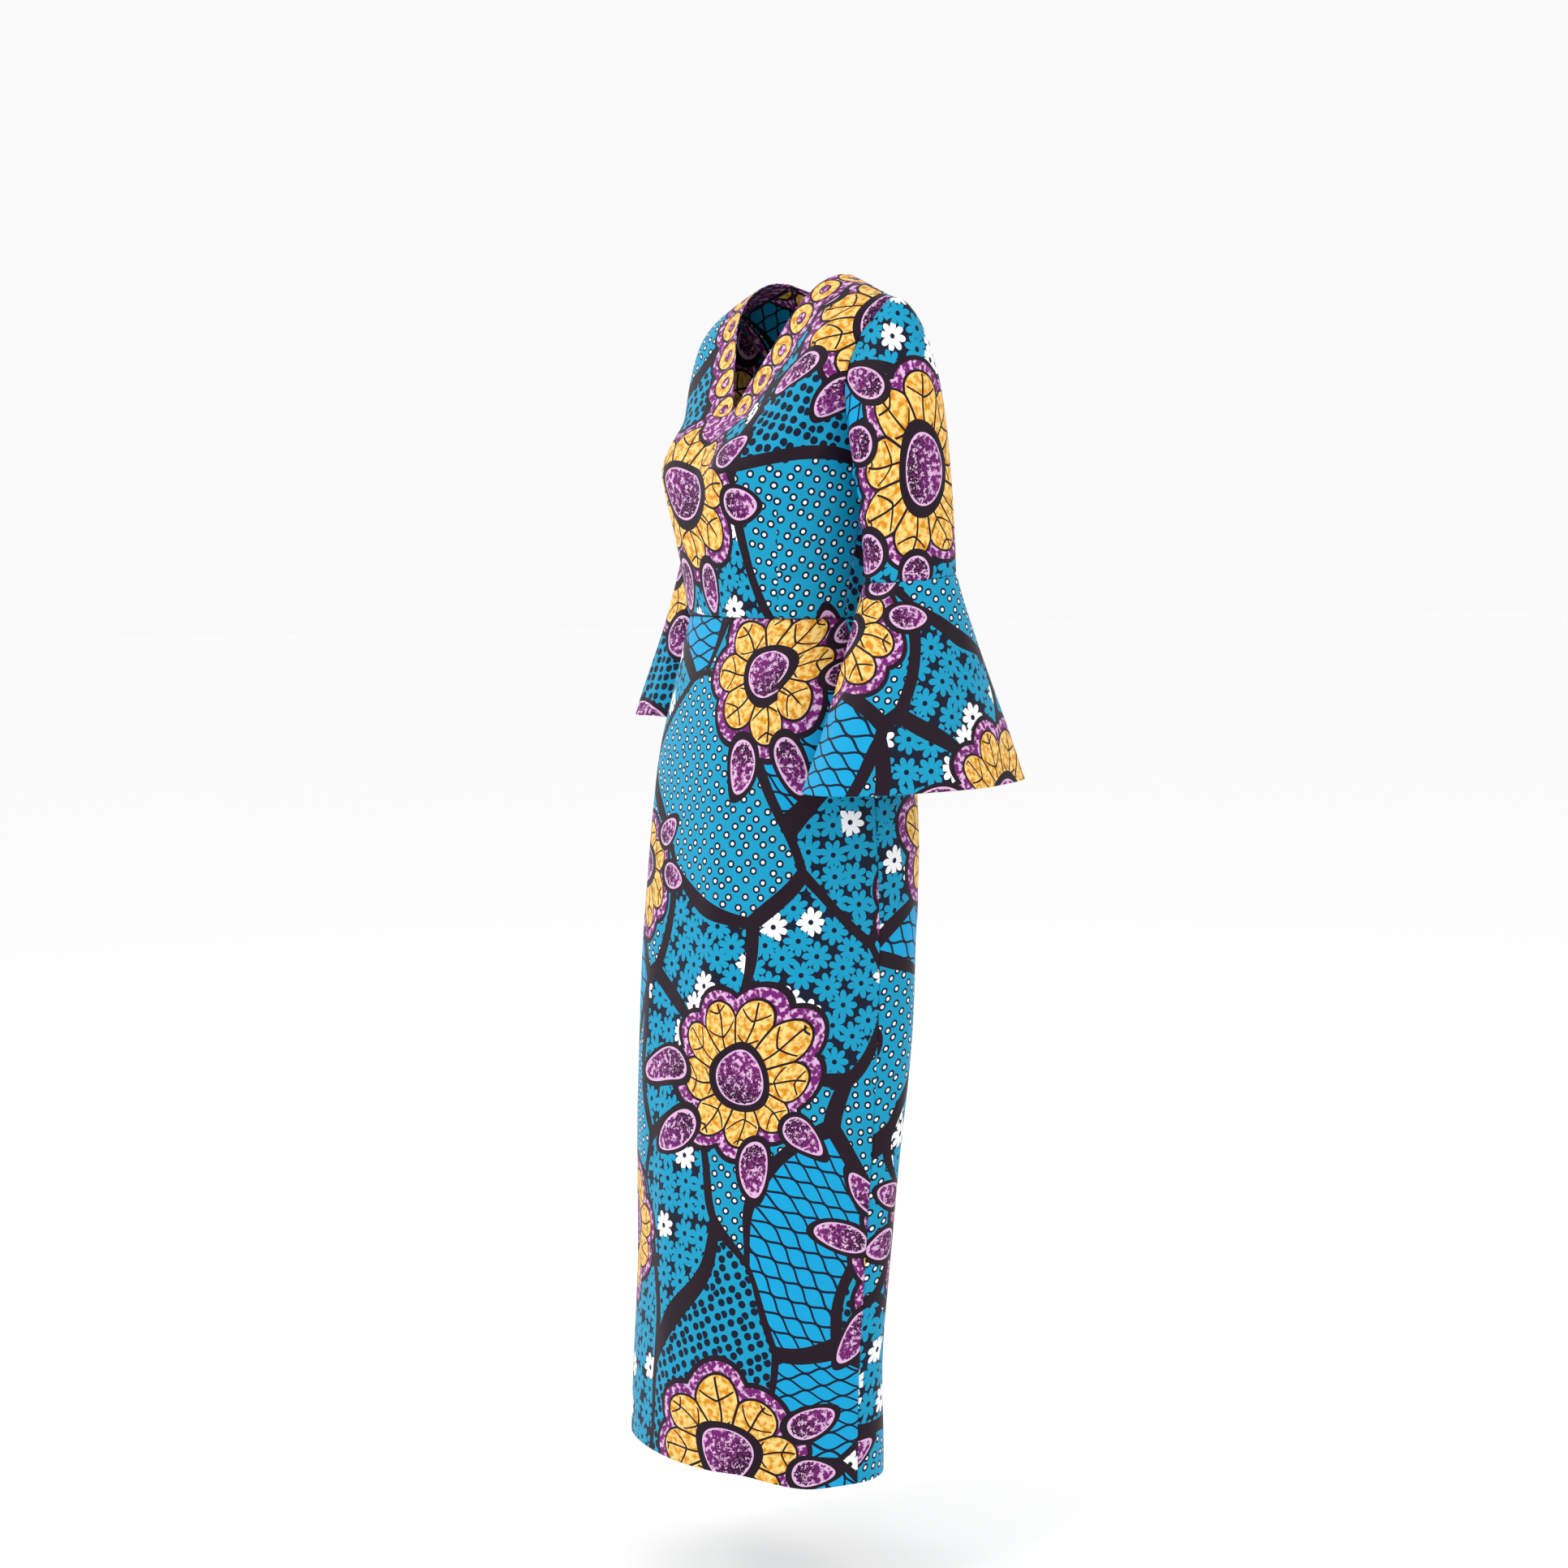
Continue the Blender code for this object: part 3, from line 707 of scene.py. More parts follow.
# %% The skirt
SKIRT_STEP = 0.0052
SKIRT_SIZE = (0.26, 0.965)
HEM_DEPTH = 0.024
SKIRT_DART = {"column": 0.52, "height": 0.120, "intake": 0.024}
FRONT_SKIRT_CREASES = named(
    "x0 y0 x1 y1 bend width depth",
    (0.060, -0.120, 0.085, -0.560, 0.012, 0.022, 0.0030),
    (0.125, -0.180, 0.135, -0.700, -0.010, 0.020, -0.0028),
    (0.175, -0.260, 0.165, -0.950, 0.012, 0.022, 0.0032),
    (-0.040, -0.220, -0.052, -0.760, 0.010, 0.024, 0.0028),
    (-0.120, -0.140, -0.128, -0.660, -0.014, 0.022, -0.0030),
    (-0.180, -0.240, -0.170, -0.960, 0.010, 0.020, 0.0030),
    (0.020, -0.480, 0.030, -0.970, -0.010, 0.026, 0.0030),
    (-0.095, -0.620, -0.090, -0.975, 0.006, 0.024, -0.0024),
    (0.090, -0.018, 0.170, -0.040, 0.004, 0.008, 0.0020),
    (0.100, -0.044, 0.180, -0.072, -0.004, 0.009, -0.0018),
    (0.060, -0.070, 0.150, -0.105, 0.006, 0.012, 0.0014),
    (-0.085, -0.020, -0.165, -0.036, -0.004, 0.008, 0.0020),
    (-0.080, -0.046, -0.175, -0.066, 0.004, 0.010, -0.0018),
    (0.110, -0.640, 0.205, -0.690, 0.010, 0.012, 0.0014),
    (-0.100, -0.580, -0.200, -0.620, -0.008, 0.012, 0.0014),
)
BACK_SKIRT_CREASES = named(
    "x0 y0 x1 y1 bend width depth",
    (0.060, -0.260, 0.066, -0.940, 0.012, 0.024, 0.0036),
    (0.120, -0.300, 0.130, -0.930, -0.010, 0.022, -0.0032),
    (0.175, -0.220, 0.170, -0.860, 0.010, 0.022, 0.0028),
    (0.020, -0.030, 0.110, -0.046, 0.004, 0.009, 0.0022),
    (0.030, -0.062, 0.120, -0.070, -0.004, 0.010, -0.0018),
    (0.050, -0.330, 0.150, -0.350, 0.010, 0.014, 0.0020),
    (-0.070, -0.280, -0.076, -0.930, -0.012, 0.024, 0.0036),
    (-0.135, -0.260, -0.130, -0.950, 0.010, 0.022, -0.0032),
    (-0.185, -0.240, -0.176, -0.820, -0.010, 0.022, 0.0028),
    (-0.030, -0.028, -0.120, -0.050, -0.004, 0.009, 0.0022),
    (-0.026, -0.064, -0.105, -0.078, 0.004, 0.010, -0.0018),
    (-0.040, -0.350, -0.140, -0.340, 0.008, 0.014, 0.0020),
)


def skirt_half(face, side, table, on_fold):
    """The grids of half a skirt."""
    us = places(SKIRT_SIZE[0], SKIRT_STEP, [1.0, SKIRT_DART["column"]] + ([] if on_fold else [0.0]))
    vs = places(SKIRT_SIZE[1], SKIRT_STEP, [0.0, 1.0])
    u, v = np.meshgrid(us, vs)
    points = skirt(face, u, v)
    across = lengths_across(points)
    along = lengths_along(points, across)
    flat = np.stack([side * across, -along], -1)
    dip, pattern_at = darted(us, flat, across, along, SKIRT_DART, side)
    to_side = across[:, -1:] - across
    push = settled(creases(flat, table) + drift(flat, 0.0008, 2.2), to_side, along)
    push += drawn_in(to_side, along) + drawn_in(along, across)
    push -= dip
    if not on_fold:
        push += drawn_in(across, along)
    points, normal = moved(points, push, on_fold=slice(None) if on_fold else None)
    grids = (points, normal, flat, None)
    strips = [turning(grids, "outer"), turning(grids, "bottom"), turning(grids, "top", HEM_DEPTH)]
    if not on_fold:
        strips.append(turning(grids, "inner"))
    return [(points, flat, None, pattern_at)] + strips


grids = []
for side in (1, -1):
    grids += mirrored(skirt_half("front", side, FRONT_SKIRT_CREASES, True), side, (0, -SEAM_GAP / 2, 0))
keep("front_skirt_cloth", grids, (0.0, 0.0), "skirt_front", "skirt_front")

for name, arm in ARMS.items():
    side = arm["side"]
    half = skirt_half("back", side, BACK_SKIRT_CREASES, False)
    grids = mirrored(half, side, (side * SEAM_GAP / 2, SEAM_GAP / 2, 0))
    keep(f"back_skirt_cloth_{name}", grids, (0.0, 0.0), f"skirt_back_{name}", "skirt_back")

# %% [markdown]
# A sleeve is a tube of cloth sewn along the underarm. Its grid is closed by merging its two long
# edges, which keeps both edges' places on the print. A few soft folds lie across the inside of the
# elbow, where an arm bends.

# %% The upper sleeves
SLEEVE_CENTRE = (0.190, 0.045)
SLEEVE_SIZE = (0.34, 0.30)
SLEEVE_CREASES = named(
    "x0 y0 x1 y1 bend width depth",
    (-0.165, 0.052, -0.050, 0.074, 0.004, 0.0070, 0.0026),
    (-0.165, 0.082, -0.060, 0.098, -0.004, 0.0070, -0.0024),
    (-0.165, 0.116, -0.070, 0.116, 0.004, 0.0070, 0.0020),
    (-0.060, 0.205, -0.115, 0.130, 0.006, 0.0090, 0.0020),
    (-0.036, 0.225, -0.085, 0.160, -0.005, 0.0080, -0.0015),
    (0.060, 0.036, 0.145, 0.050, 0.004, 0.0080, 0.0020),
    (0.065, 0.066, 0.150, 0.070, -0.004, 0.0080, -0.0018),
    (0.060, 0.160, 0.125, 0.120, -0.006, 0.0090, 0.0018),
    (-0.030, 0.030, 0.040, 0.042, 0.003, 0.0070, -0.0012),
    (0.010, 0.090, 0.018, 0.190, 0.004, 0.0110, 0.0012),
)

for name, arm in ARMS.items():
    side = arm["side"]
    us = places(SLEEVE_SIZE[0], STEP, [0.0, 1.0])
    vs = places(SLEEVE_SIZE[1], STEP, [0.0, 1.0])
    u, v = np.meshgrid(us, vs)
    points = sleeve(arm, u, v)
    round_it = lengths_across(points)
    top_line = round_it[:, [int(np.argmin(np.abs(us - 0.5)))]]
    down = lengths_along(points, round_it - top_line)
    up = down[-1:] - down
    flat = eased(points, np.stack([round_it - top_line, up], -1))
    flat[..., 1] -= flat[-1, :, 1].mean()
    to_seam = np.minimum(round_it, round_it[:, -1:] - round_it)
    push = settled(creases(flat, SLEEVE_CREASES) + drift(flat, 0.0006, 3.0 + side), down, up, to_seam)
    push += drawn_in(down, round_it, 0.0006, 0.0005) + drawn_in(up, round_it)
    push += drawn_in(to_seam, up, pucker=0)
    keep_tube("sleeve", name, side, points, flat * np.array([side, 1]), push, SLEEVE_CENTRE)

# %% [markdown]
# The flounce is a bell: a ring of cloth whose hem is more than twice as long as its top. Laid flat it
# is a quarter of a wide ring, so its pattern is laid out round a point, and the print turns as it
# goes round the arm.

# %% The flounces
FLOUNCE_STEP = 0.0048
FLOUNCE_SIZE = (0.58, 0.235)
FLOUNCE_HEM_DEPTH = 0.009
FLOUNCE_CREASES = named(
    "x0 y0 x1 y1 bend width depth",
    (-0.115, 0.030, -0.215, 0.236, 0.010, 0.0130, 0.0042),
    (-0.090, 0.040, -0.165, 0.236, 0.006, 0.0120, -0.0030),
    (-0.040, 0.030, -0.075, 0.236, -0.006, 0.0160, 0.0028),
    (0.030, 0.030, 0.050, 0.236, 0.008, 0.0150, -0.0028),
    (0.080, 0.030, 0.150, 0.236, -0.006, 0.0150, 0.0036),
    (0.120, 0.040, 0.230, 0.236, 0.006, 0.0140, -0.0030),
    (0.000, 0.060, 0.002, 0.236, 0.006, 0.0180, 0.0020),
)

for name, arm in ARMS.items():
    side = arm["side"]
    us = places(FLOUNCE_SIZE[0], FLOUNCE_STEP, [0.0, 1.0])
    vs = places(FLOUNCE_SIZE[1], FLOUNCE_STEP, [0.0, 1.0])
    u, v = np.meshgrid(us, vs)
    points = flounce(arm, u, v)
    across = lengths_across(points)
    down = lengths_along(points, 0 * across)
    top_round, hem_round = across[0, -1], across[-1, -1]
    drop = float(down[-1].mean())
    ring_turn = (hem_round - top_round) / drop
    ring_top = top_round / ring_turn
    angle = (across / across[:, -1:] - 0.5) * ring_turn
    reach = ring_top + down
    flat = np.stack([side * reach * np.sin(angle), -reach * np.cos(angle)], -1)
    plain = np.stack([across - across[:, -1:] / 2, down], -1)
    to_seam = np.minimum(across, across[:, -1:] - across)
    push = settled(creases(plain, FLOUNCE_CREASES) + drift(plain, 0.0007, 4.0 + side), down, to_seam)
    push += drawn_in(down, across, pucker=0.0004) + drawn_in(to_seam, down, pucker=0)
    keep_tube("flounce", name, side, points, flat, push, arm["bell"][:2], FLOUNCE_HEM_DEPTH)
    print(f"  a ring of {math.degrees(ring_turn):.0f} degrees, {top_round:.3f} m round at the top")
    print(f"  and {hem_round:.3f} m at the hem, {drop:.3f} m deep")

# %% [markdown]
# The cloth is a wax print: turquoise fields with small fillings, plum vines between them, and large
# flowers with orange petals and purple hearts. The small fillings are common ones, and the flowers,
# their leaves and the layout are generic. The print is drawn with shader nodes on the flat pattern,
# in metres, so that it lies on each piece as it was cut and breaks at the seams. A small class lets
# sums on node sockets be written as plain arithmetic.


# %% Sums on wires
class Wire:
    """What comes out of a node. Arithmetic on a wire adds the Math nodes that work it out."""

    def __init__(self, socket):
        self.socket = socket

    def __add__(self, other):
        return sums("ADD", self, other)

    def __radd__(self, other):
        return sums("ADD", self, other)

    def __sub__(self, other):
        return sums("SUBTRACT", self, other)

    def __rsub__(self, other):
        return sums("SUBTRACT", other, self)

    def __mul__(self, other):
        return sums("MULTIPLY", self, other)

    def __rmul__(self, other):
        return sums("MULTIPLY", self, other)

    def __truediv__(self, other):
        return sums("DIVIDE", self, other)

    def __rtruediv__(self, other):
        return sums("DIVIDE", other, self)

    def __lt__(self, other):
        return sums("LESS_THAN", self, other)

    def __gt__(self, other):
        return sums("GREATER_THAN", self, other)

    def __abs__(self):
        return sums("ABSOLUTE", self)


def wired(kind, inputs, output=0, **settings):
    """Add a node, wire or set its inputs, and give one of its outputs."""
    tree = next(value for value in inputs.values() if isinstance(value, Wire)).socket.id_data
    node = tree.nodes.new(kind)
    for name, value in settings.items():
        setattr(node, name, value)
    for name, value in inputs.items():
        if isinstance(value, Wire):
            tree.links.new(value.socket, node.inputs[name])
        else:
            node.inputs[name].default_value = value
    return Wire(node.outputs[output])


def sums(operation, *values):
    return wired("ShaderNodeMath", dict(enumerate(values)), operation=operation)


def vectors(operation, *values, output=0):
    return wired("ShaderNodeVectorMath", dict(enumerate(values)), output, operation=operation)


def choose(where, there, elsewhere, kind="RGBA"):
    """One of two values, by a wire that is 1 where the first one holds."""
    first = {"FLOAT": 2, "VECTOR": 4, "RGBA": 6}[kind]
    inputs = {0: where, first: elsewhere, first + 1: there}
    return wired("ShaderNodeMix", inputs, first // 2 - 1, data_type=kind, clamp_factor=False)


def split(vector):
    return [wired("ShaderNodeSeparateXYZ", {0: vector}, i) for i in (0, 1)]


def combined(x, y):
    return wired("ShaderNodeCombineXYZ", {0: x, 1: y})


def rotated(vector, angle):
    return wired("ShaderNodeVectorRotate", {"Vector": vector, "Angle": angle}, rotation_type="Z_AXIS")


def hypot(x, y):
    return sums("SQRT", x * x + y * y)


def smallest(*values):
    found = values[0]
    for value in values[1:]:
        found = sums("MINIMUM", found, value)
    return found


def noise(place, scale, detail, output=0):
    return wired(
        "ShaderNodeTexNoise", {"Vector": place, "Scale": scale, "Detail": detail}, output,
        noise_dimensions="2D",
    )


def cells(place, scale, feature="F1", output="Position", randomness=1.0):
    return wired(
        "ShaderNodeTexVoronoi", {"Vector": place, "Scale": scale, "Randomness": randomness}, output,
        voronoi_dimensions="2D", feature=feature,
    )


def ink(red, green, blue):
    """A colour as it is seen, as the linear light that shaders use."""
    seen = (red, green, blue)
    return tuple(((c / 255 + 0.055) / 1.055) ** 2.4 if c > 10 else c / 3295 for c in seen) + (1,)


# %% [markdown]
# The inks. Wax cracks in the dye bath, so the purple and orange are never even: pale veins run
# through them. CRACKLE is how fine the veins are, and each of the two inks has the share that they
# take and how sharp their edges are.

# %% Inks
TURQUOISE = ink(8, 145, 184)
BRIGHT_BLUE = ink(2, 154, 205)
PLUM = ink(26, 8, 24)
NIGHT = ink(6, 16, 40)
ORANGE = ink(206, 134, 14)
CREAM = ink(238, 202, 118)
PURPLE = ink(110, 22, 104)
PALE_LILAC = ink(216, 172, 210)
WHITE = ink(236, 238, 240)
CRACKLE = 150.0
ORANGE_CRACKLE, PURPLE_CRACKLE = (0.52, 5.0), (0.45, 9.0)


def crackled(place, base, vein, share, sharp):
    """An ink broken up by the wax's crackle."""
    amount = (noise(place, CRACKLE, 3.0) - (1 - share)) * sharp + 0.5
    return choose(sums("MINIMUM", sums("MAXIMUM", amount, 0.0), 1.0), vein, base)


# %% [markdown]
# The flowers stand in a repeat, as on a printed bolt. A row of the table is one flower of the
# repeat. Each point of the cloth belongs to the flower whose edge is nearest, so all flowers are
# drawn by one set of nodes, in the chosen flower's own frame.

# %% Where the flowers stand
REPEAT = (0.46, 0.88)
FLOWERS = named(
    "x y radius turn petals",
    (0.115, 0.110, 0.108, 0.35, 9),
    (0.350, 0.315, 0.090, 3.50, 8),
    (0.110, 0.555, 0.100, 5.40, 8),
    (0.340, 0.770, 0.105, 1.30, 9),
)


def nearest_flower(place):
    """The point in the frame of the nearest flower, with that flower's radius and count of petals."""
    half = (REPEAT[0] / 2, REPEAT[1] / 2, 1)
    local = nearest = facts = None
    for x, y, radius, turn, petals in zip(*FLOWERS.values()):
        away = vectors("WRAP", vectors("SUBTRACT", place, (x, y, 0)), half, tuple(-h for h in half))
        reach = vectors("LENGTH", away, output="Value") - radius
        values = (radius, turn, petals)
        if local is None:
            local, nearest, facts = away, reach, values
            continue
        closer = reach < nearest
        local = choose(closer, away, local, "VECTOR")
        facts = choose(closer, values, facts, "VECTOR")
        nearest = sums("MINIMUM", nearest, reach)
    radius, turn = split(facts)
    petals = wired("ShaderNodeSeparateXYZ", {0: facts}, 2)
    return rotated(local, turn), radius, petals


# %% [markdown]
# A flower is an even rosette of round-headed petals on a purple margin, inside a plum outline. Over
# it lie purple lobes: a round heart in a thick ring, and two pairs of leaves at its edge. Distances
# are in metres, and positive inside a shape, so the same numbers give every line its width.

# %% Drawing a flower
LINE = 0.0014
VEIN = 0.0012
VEIN_STEP, VEIN_CLEAR = 0.027, 0.0030
VEIN_LEAN, VEIN_CURL, VEIN_SHIFT = 0.35, 14, 0.37
VEIN_SWAY, VEIN_WAVES = 0.0034, 75
ROUND_HEAD = 1.1
MARGIN = 0.0110
OUTLINE = 0.0055
EGG = 0.22
SPECKLE, SPECKLE_SHARE, SPECKLE_FADE = 400.0, 0.43, 0.17
LILAC_LINE, LILAC_FRAY, FRAY = 0.0006, 0.0030, 330.0
LOBES = named(
    "x y half_width half_height turn ring",
    (0.98, -0.45, 0.16, 0.27, 2.0, 0.0050),
    (-0.98, -0.45, 0.16, 0.27, -2.0, 0.0050),
    (0.56, -0.92, 0.16, 0.27, 2.6, 0.0050),
    (-0.56, -0.92, 0.16, 0.27, -2.6, 0.0050),
    (0.00, 0.00, 0.31, 0.31, 0.0, 0.0095),
)


def petals_of(local, radius, count):
    """How deep a point lies in a petal, the place along and across it, and the petal's number."""
    x, y = split(local)
    out = hypot(x, y)
    turn = sums("ARCTAN2", x, y)
    tip = radius - (MARGIN + OUTLINE)
    place = turn * count / (2 * math.pi)
    number = sums("ROUND", place)
    room = math.pi / count
    aside = (place - number) * 2 * room
    along, across = out * sums("COSINE", aside), out * sums("SINE", aside)
    width = abs(across)
    flare = sums("TANGENT", room)
    middle = tip / (1 + ROUND_HEAD * flare)
    half_width = middle * flare
    beyond = sums("MAXIMUM", along - middle, 0.0) / ROUND_HEAD
    head = half_width - hypot(beyond, width)
    sides = (along * flare - width) * sums("COSINE", room)
    return head, smallest(head, sides), along, across, number


def flower(field, place, purple):
    """The print's flowers over the field."""
    local, radius, count = nearest_flower(place)
    head, depth, along, across, number = petals_of(local, radius, count)
    branch = along - VEIN_LEAN * abs(across) - VEIN_CURL * across * across
    branch = branch / VEIN_STEP + number * VEIN_SHIFT
    branch = abs(sums("FRACT", branch) - 0.5) * VEIN_STEP
    middle = abs(across + VEIN_SWAY * sums("SINE", along * VEIN_WAVES + number))
    veins = ((middle < VEIN) + (branch < VEIN)) * (depth > VEIN_CLEAR)
    orange = crackled(place, ORANGE, CREAM, *ORANGE_CRACKLE)
    petal = choose(sums("MINIMUM", veins, 1.0), PLUM, orange)
    colour = choose(head > -(MARGIN + OUTLINE), PLUM, field)
    colour = choose(head > -MARGIN, purple, colour)
    colour = choose(depth > -LINE, PLUM, colour)
    colour = choose(depth > LINE, petal, colour)
    in_ring = abs(depth) < LINE
    colour = choose(in_ring * (head > -LINE), PLUM, colour)
    lobe, low, edge = None, None, None
    for x, y, half_width, half_height, turn, ring in zip(*LOBES.values()):
        place_in = vectors("SUBTRACT", vectors("DIVIDE", local, combined(radius, radius)), (x, y, 0))
        across_it, up_it = split(rotated(place_in, turn))
        across_it = across_it / (half_width * (1 - EGG * up_it / half_height))
        up_it = up_it / half_height
        inside = (1 - hypot(across_it, up_it)) * half_width * radius
        here = inside > -ring
        lobe = inside if lobe is None else choose(here, inside, lobe, "FLOAT")
        low = up_it if low is None else choose(here, up_it, low, "FLOAT")
        edge = here if edge is None else sums("MAXIMUM", edge, here)
    speckle = noise(place, SPECKLE, 1.0) + SPECKLE_FADE * low
    heart = choose(speckle < SPECKLE_SHARE, PLUM, purple)
    lobed = choose(lobe > 0.0, PALE_LILAC, PLUM)
    lobed = choose(lobe > LILAC_LINE + LILAC_FRAY * noise(place, FRAY, 0.0), heart, lobed)
    return choose(edge, lobed, colour)


# %% [markdown]
# Between the flowers, plum vines part the cloth into leaf-shaped fields. Each field has one of four
# fillings: daisies with a few white ones among them, ringed dots, dark pebbles, or wavy scales.

# %% Drawing the fields
VINE_CELL = 0.150
VINE, VINE_SWELL = 0.0056, 0.0085
DAISIES_TO, RINGED_TO, PEBBLES_TO = 0.30, 0.54, 0.78
DAISY, RINGED, PEBBLE = 0.0290, 0.0138, 0.0116
DAISY_RADIUS, DAISY_EYE = 0.0172, 0.0030
RING, DOT = 0.0044, 0.0021
PEBBLE_RADIUS, PEBBLE_DENT = 0.0042, 0.0017
SCALE_ROW, SCALE_WAVES, SCALE_LINE = 0.0105, 125, 0.120
SCALE_SWING, SCALE_STEEP = 0.46, 0.88


def fields(place, bent):
    """The turquoise fields, and the vines that bend between them."""
    scale = 1 / VINE_CELL
    sway = vectors("SUBTRACT", noise(place, 3.3, 0.0, 1), (0.5, 0.5, 0.5))
    bent = vectors("ADD", bent, vectors("MULTIPLY", sway, (0.13, 0.13, 0)))
    bent = vectors("MULTIPLY", bent, (1.15, 0.80, 0))
    sort, hue = split(cells(bent, scale, output="Color"))
    edge = cells(bent, scale, "DISTANCE_TO_EDGE", "Distance") * VINE_CELL
    daisies, ringed, pebbles = sort < DAISIES_TO, sort < RINGED_TO, sort < PEBBLES_TO
    size = choose(pebbles, PEBBLE, 1.0, "FLOAT")
    size = choose(ringed, RINGED, size, "FLOAT")
    size = choose(daisies, DAISY, size, "FLOAT")
    turned = rotated(place, (hue - 0.5) * 2.2)
    loose = choose(ringed, 0.34, 0.50, "FLOAT")
    density = 1 / size
    centre = cells(turned, density, randomness=loose)
    draw, _ = split(cells(turned, density, output="Color", randomness=loose))
    x, y = split(vectors("SUBTRACT", turned, centre))
    out = hypot(x, y)
    turn = sums("ARCTAN2", y, x) + draw * 6.28
    # a daisy of eight petals round a dark eye
    lobes = sums("POWER", abs(sums("COSINE", 4.0 * turn)), 0.6)
    petal = (out < DAISY_RADIUS * (0.42 + 0.58 * lobes)) * (out > DAISY_EYE)
    daisy = choose(petal, choose(draw < 0.15, WHITE, TURQUOISE), NIGHT)
    # a white dot in a dark ring
    dot = choose(out < RING, NIGHT, TURQUOISE)
    dot = choose(out < DOT, WHITE, dot)
    # a dark pebble, a little heart-shaped, all of a field's lying one way
    lean = sums("ARCTAN2", y, x) + 0.9 * draw
    pebble = choose(out < PEBBLE_RADIUS - PEBBLE_DENT * sums("SINE", lean), NIGHT, TURQUOISE)
    # scales: wavy lines, each row shifted against the last
    u, v = split(turned)
    wander = noise(place, 9.0, 0.0)
    row = v / SCALE_ROW + 2.2 * wander
    line = sums("ROUND", row)
    phase = u * SCALE_WAVES + 4 * wander + line * math.pi
    swing, steep = SCALE_SWING * sums("SINE", phase), SCALE_STEEP * sums("COSINE", phase)
    near = smallest(abs(row - line - swing), abs(row - line + 1 + swing), abs(row - line - 1 + swing))
    scales = choose(near < SCALE_LINE * hypot(steep, 1.0), NIGHT, BRIGHT_BLUE)
    filled = choose(pebbles, pebble, scales)
    filled = choose(ringed, dot, filled)
    filled = choose(daisies, daisy, filled)
    thick = VINE + VINE_SWELL * (wander - 0.35)
    return choose(edge < thick, PLUM, filled)


# %% [markdown]
# The whole print is one node group, so that every piece of the dress shares it. Slow noise bends the
# drawing a little, as a hand-cut block does. The neckline has a plain border of discs that follows
# its edge, laid out by the second UV map.

# %% The print as a node group
BORDER_PITCH = half_neck / round(half_neck / 0.042)
DISC, EYE, DISC_DOWN = 0.0185, 0.0062, 0.0190
BORDER_OUTLINE, BORDER_MARGIN = 0.0135, 0.0095


def neck_border(colour, neck, place, purple):
    """A row of orange discs with purple eyes along the neck edge."""
    along, down = split(neck)
    part = along / BORDER_PITCH + 0.5
    aside = (part - sums("ROUND", part)) * BORDER_PITCH
    out = hypot(aside, down - DISC_DOWN)
    head = DISC - out
    petal = choose(out < EYE + LINE, PLUM, crackled(place, ORANGE, CREAM, *ORANGE_CRACKLE))
    petal = choose(out < EYE, purple, petal)
    colour = choose(head > -BORDER_OUTLINE, PLUM, colour)
    colour = choose(head > -BORDER_MARGIN, purple, colour)
    colour = choose(head > -LINE, PLUM, colour)
    return choose(head > LINE, petal, colour)


wax_print = bpy.data.node_groups.new("wax_print", "ShaderNodeTree")
for name in ("Place", "Neck"):
    wax_print.interface.new_socket(name, in_out="INPUT", socket_type="NodeSocketVector")
wax_print.interface.new_socket("Color", in_out="OUTPUT", socket_type="NodeSocketColor")
group_in = wax_print.nodes.new("NodeGroupInput")
group_out = wax_print.nodes.new("NodeGroupOutput")
spot, neck_spot = Wire(group_in.outputs["Place"]), Wire(group_in.outputs["Neck"])
bend = vectors("SUBTRACT", noise(spot, 6.0, 0.5, "Color"), (0.5, 0.5, 0.5))
bent = vectors("ADD", spot, vectors("MULTIPLY", bend, (0.055, 0.055, 0)))
purple_ink = crackled(spot, PURPLE, PALE_LILAC, *PURPLE_CRACKLE)
drawn = flower(fields(spot, bent), bent, purple_ink)
drawn = neck_border(drawn, neck_spot, spot, purple_ink)
wax_print.links.new(drawn.socket, group_out.inputs["Color"])
print("the print takes", len(wax_print.nodes), "nodes")

# %% [markdown]
# Each piece is cut from its own place on the bolt, so the print never quite meets at a seam. The
# rows of the table stand in the order in which the pieces were made. Under the ink is plain-weave
# cotton, pressed and a little glossy from the wax: its threads are a fine bump, and a thin sheen
# catches the light on the curves.

# %% Printed cotton for each piece
THREAD = 0.00045
ON_THE_BOLT = named(
    "x y",
    (-0.780, -0.465),
    (0.020, 0.240),
    (0.300, 0.410),
    (0.910, 0.620),
    (0.250, 0.150),
    (0.380, 0.700),
    (-0.580, 0.650),
    (0.330, 0.150),
    (0.940, 0.560),
    (0.060, 0.300),
)


def woven(cut):
    """Bump for a plain weave: threads across and threads along, each over the other by turns."""
    x, y = split(cut)
    across, along = sums("SINE", x * (2 * math.pi / THREAD)), sums("SINE", y * (2 * math.pi / THREAD))
    height = across * along + 1.5 * noise(cut, 900.0, 1.0)
    return wired("ShaderNodeBump", {"Height": height, "Distance": 0.00004, "Strength": 0.35})


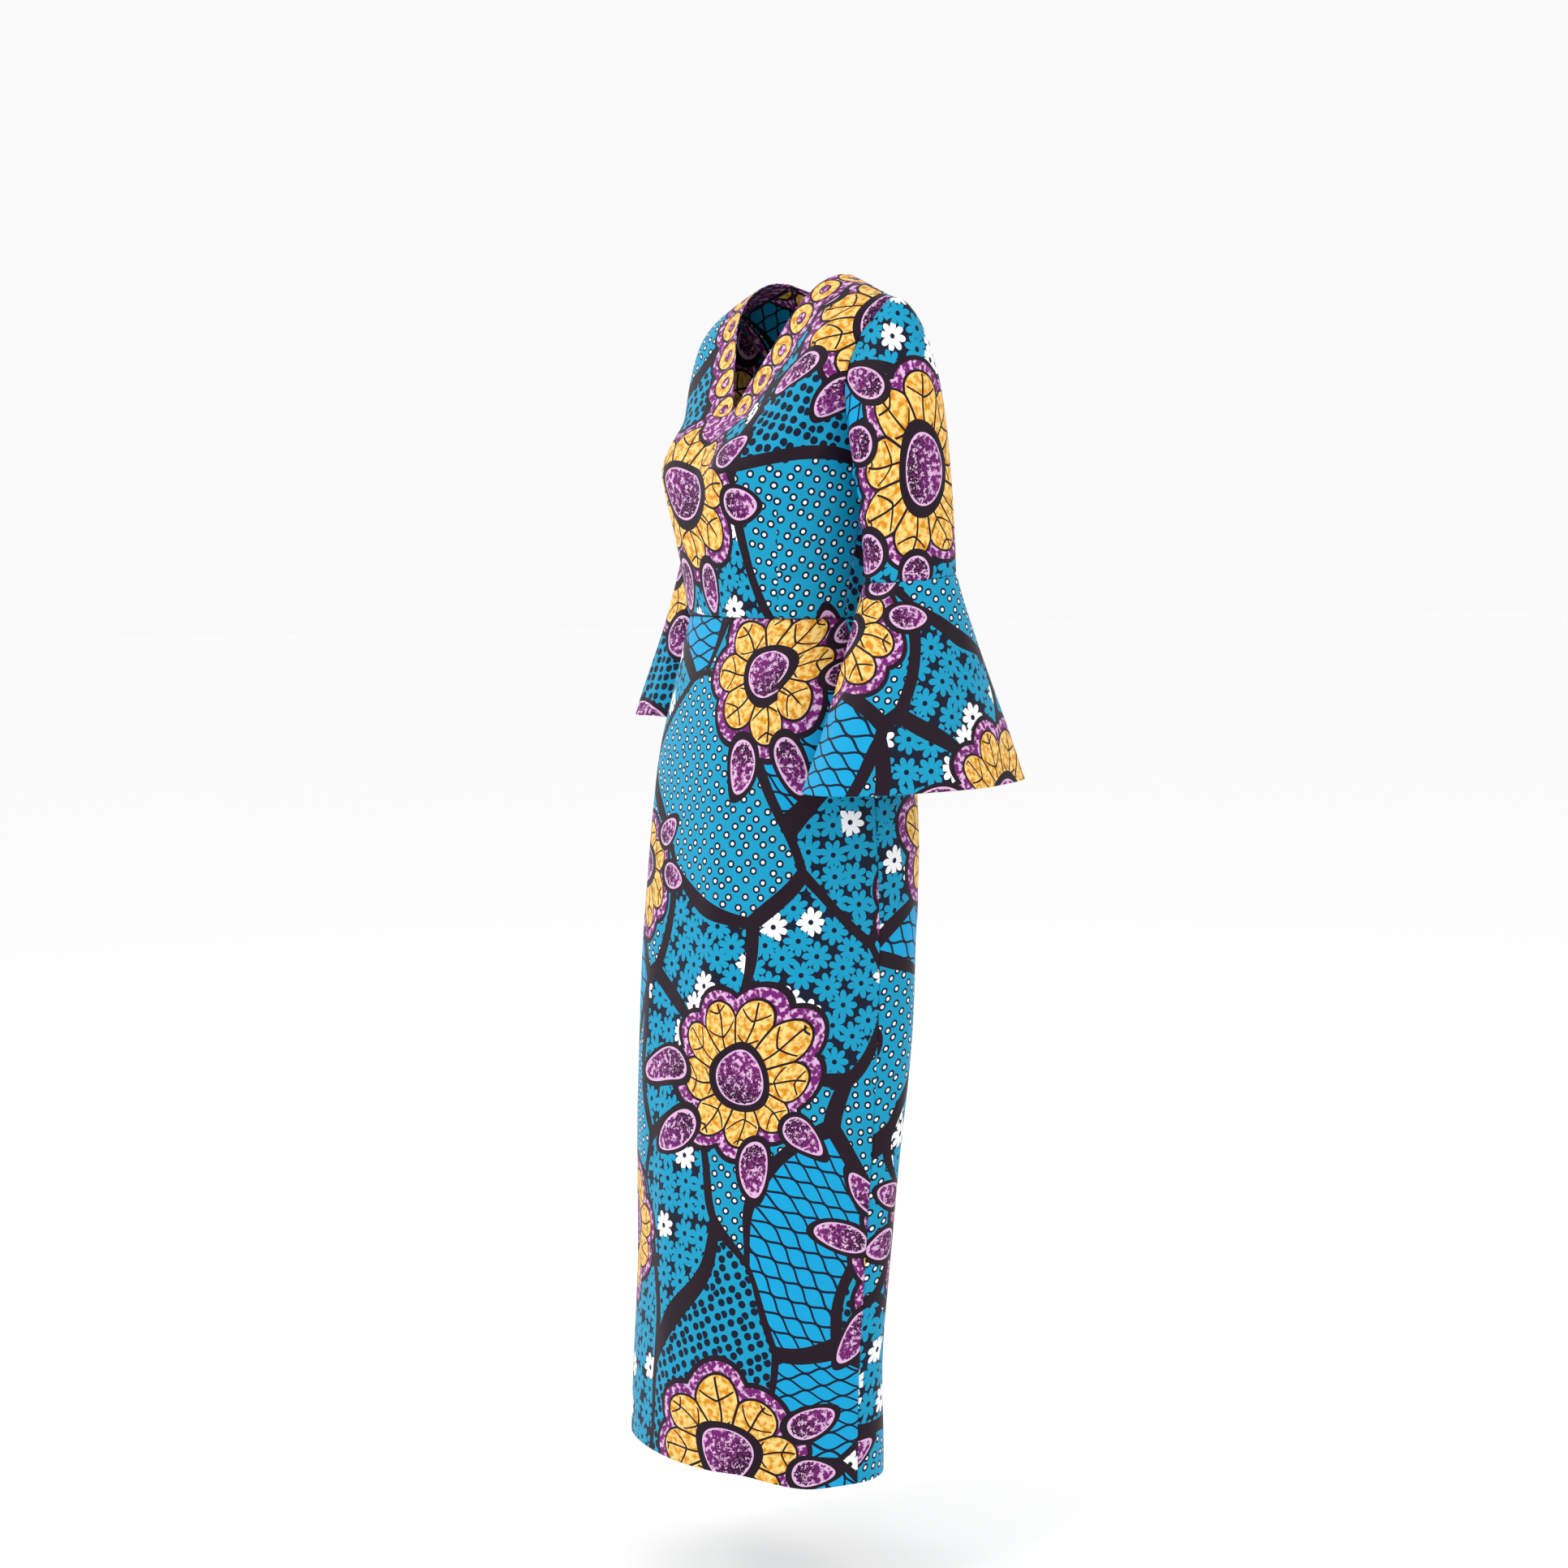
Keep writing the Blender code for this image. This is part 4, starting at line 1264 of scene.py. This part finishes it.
def printed_cotton(name, x, y):
    """The material of one piece: the print where the piece lay on the bolt, over the weave."""
    material = bpy.data.materials.new(f"{name}_print")
    material.use_nodes = True
    tree = material.node_tree
    shader = tree.nodes["Principled BSDF"]
    shader.inputs["Roughness"].default_value = 0.55
    shader.inputs["Specular IOR Level"].default_value = 0.16
    shader.inputs["Sheen Weight"].default_value = 0.03
    shader.inputs["Sheen Roughness"].default_value = 0.40
    maps = []
    for layer in ("cut", "neck"):
        node = tree.nodes.new("ShaderNodeUVMap")
        node.uv_map = layer
        maps.append(Wire(node.outputs["UV"]))
    place = wired("ShaderNodeMapping", {"Vector": maps[0], "Location": (x, y, 0)})
    printed = tree.nodes.new("ShaderNodeGroup")
    printed.node_tree = wax_print
    tree.links.new(place.socket, printed.inputs["Place"])
    tree.links.new(maps[1].socket, printed.inputs["Neck"])
    tree.links.new(printed.outputs["Color"], shader.inputs["Base Color"])
    tree.links.new(woven(maps[0]).socket, shader.inputs["Normal"])
    return material


for (name, piece), x, y in zip(pieces.items(), *ON_THE_BOLT.values()):
    piece.data.materials.append(printed_cotton(name, x, y))
print("printed:", ", ".join(pieces))

# %% [markdown]
# The studio is white all round, and three large soft lamps give the creases some shade. The floor
# lies below the hem, because nothing here holds the dress up. It glows faintly, so that it fades into
# the white behind it.

# %% Floor and light
MIDDLE_OF_DRESS = (0, 0, -0.6)
FLOOR_HEIGHT = -1.52

floor_mesh = bpy.data.meshes.new("floor")
bm = bmesh.new()
bmesh.ops.create_grid(bm, x_segments=1, y_segments=1, size=30)
bm.to_mesh(floor_mesh)
bm.free()
floor = bpy.data.objects.new("floor", floor_mesh)
bpy.context.scene.collection.objects.link(floor)
floor.location = (0, 0, FLOOR_HEIGHT)
white = bpy.data.materials.new("studio floor")
white.use_nodes = True
painted = white.node_tree.nodes["Principled BSDF"].inputs
painted["Base Color"].default_value = (0.93, 0.93, 0.93, 1)
painted["Roughness"].default_value = 0.8
painted["Emission Color"].default_value = (1, 1, 1, 1)
painted["Emission Strength"].default_value = 0.07
floor_mesh.materials.append(white)


def lamp(name, place, size, power):
    """An area light that faces the middle of the dress."""
    light = bpy.data.lights.new(name, "AREA")
    light.shape = "RECTANGLE"
    light.size, light.size_y = size
    light.energy = power
    holder = bpy.data.objects.new(name, light)
    bpy.context.scene.collection.objects.link(holder)
    holder.location = place
    x, y, z = np.array(MIDDLE_OF_DRESS) - np.array(place)
    holder.rotation_euler = (math.atan2(math.hypot(x, y), -z), 0, math.atan2(-x, y))


lamp("key light", (0.6, -3.6, 1.8), (1.8, 2.4), 62)
lamp("side light", (3.8, 0.9, 1.0), (2.0, 2.6), 30)
lamp("far light", (-2.8, -1.6, 1.0), (1.6, 2.4), 22)
world = bpy.data.worlds.new("studio")
bpy.context.scene.world = world
world.use_nodes = True
world.node_tree.nodes["Background"].inputs["Color"].default_value = (1, 1, 1, 1)
world.node_tree.nodes["Background"].inputs["Strength"].default_value = 0.95
bpy.context.scene.view_settings.view_transform = "Standard"
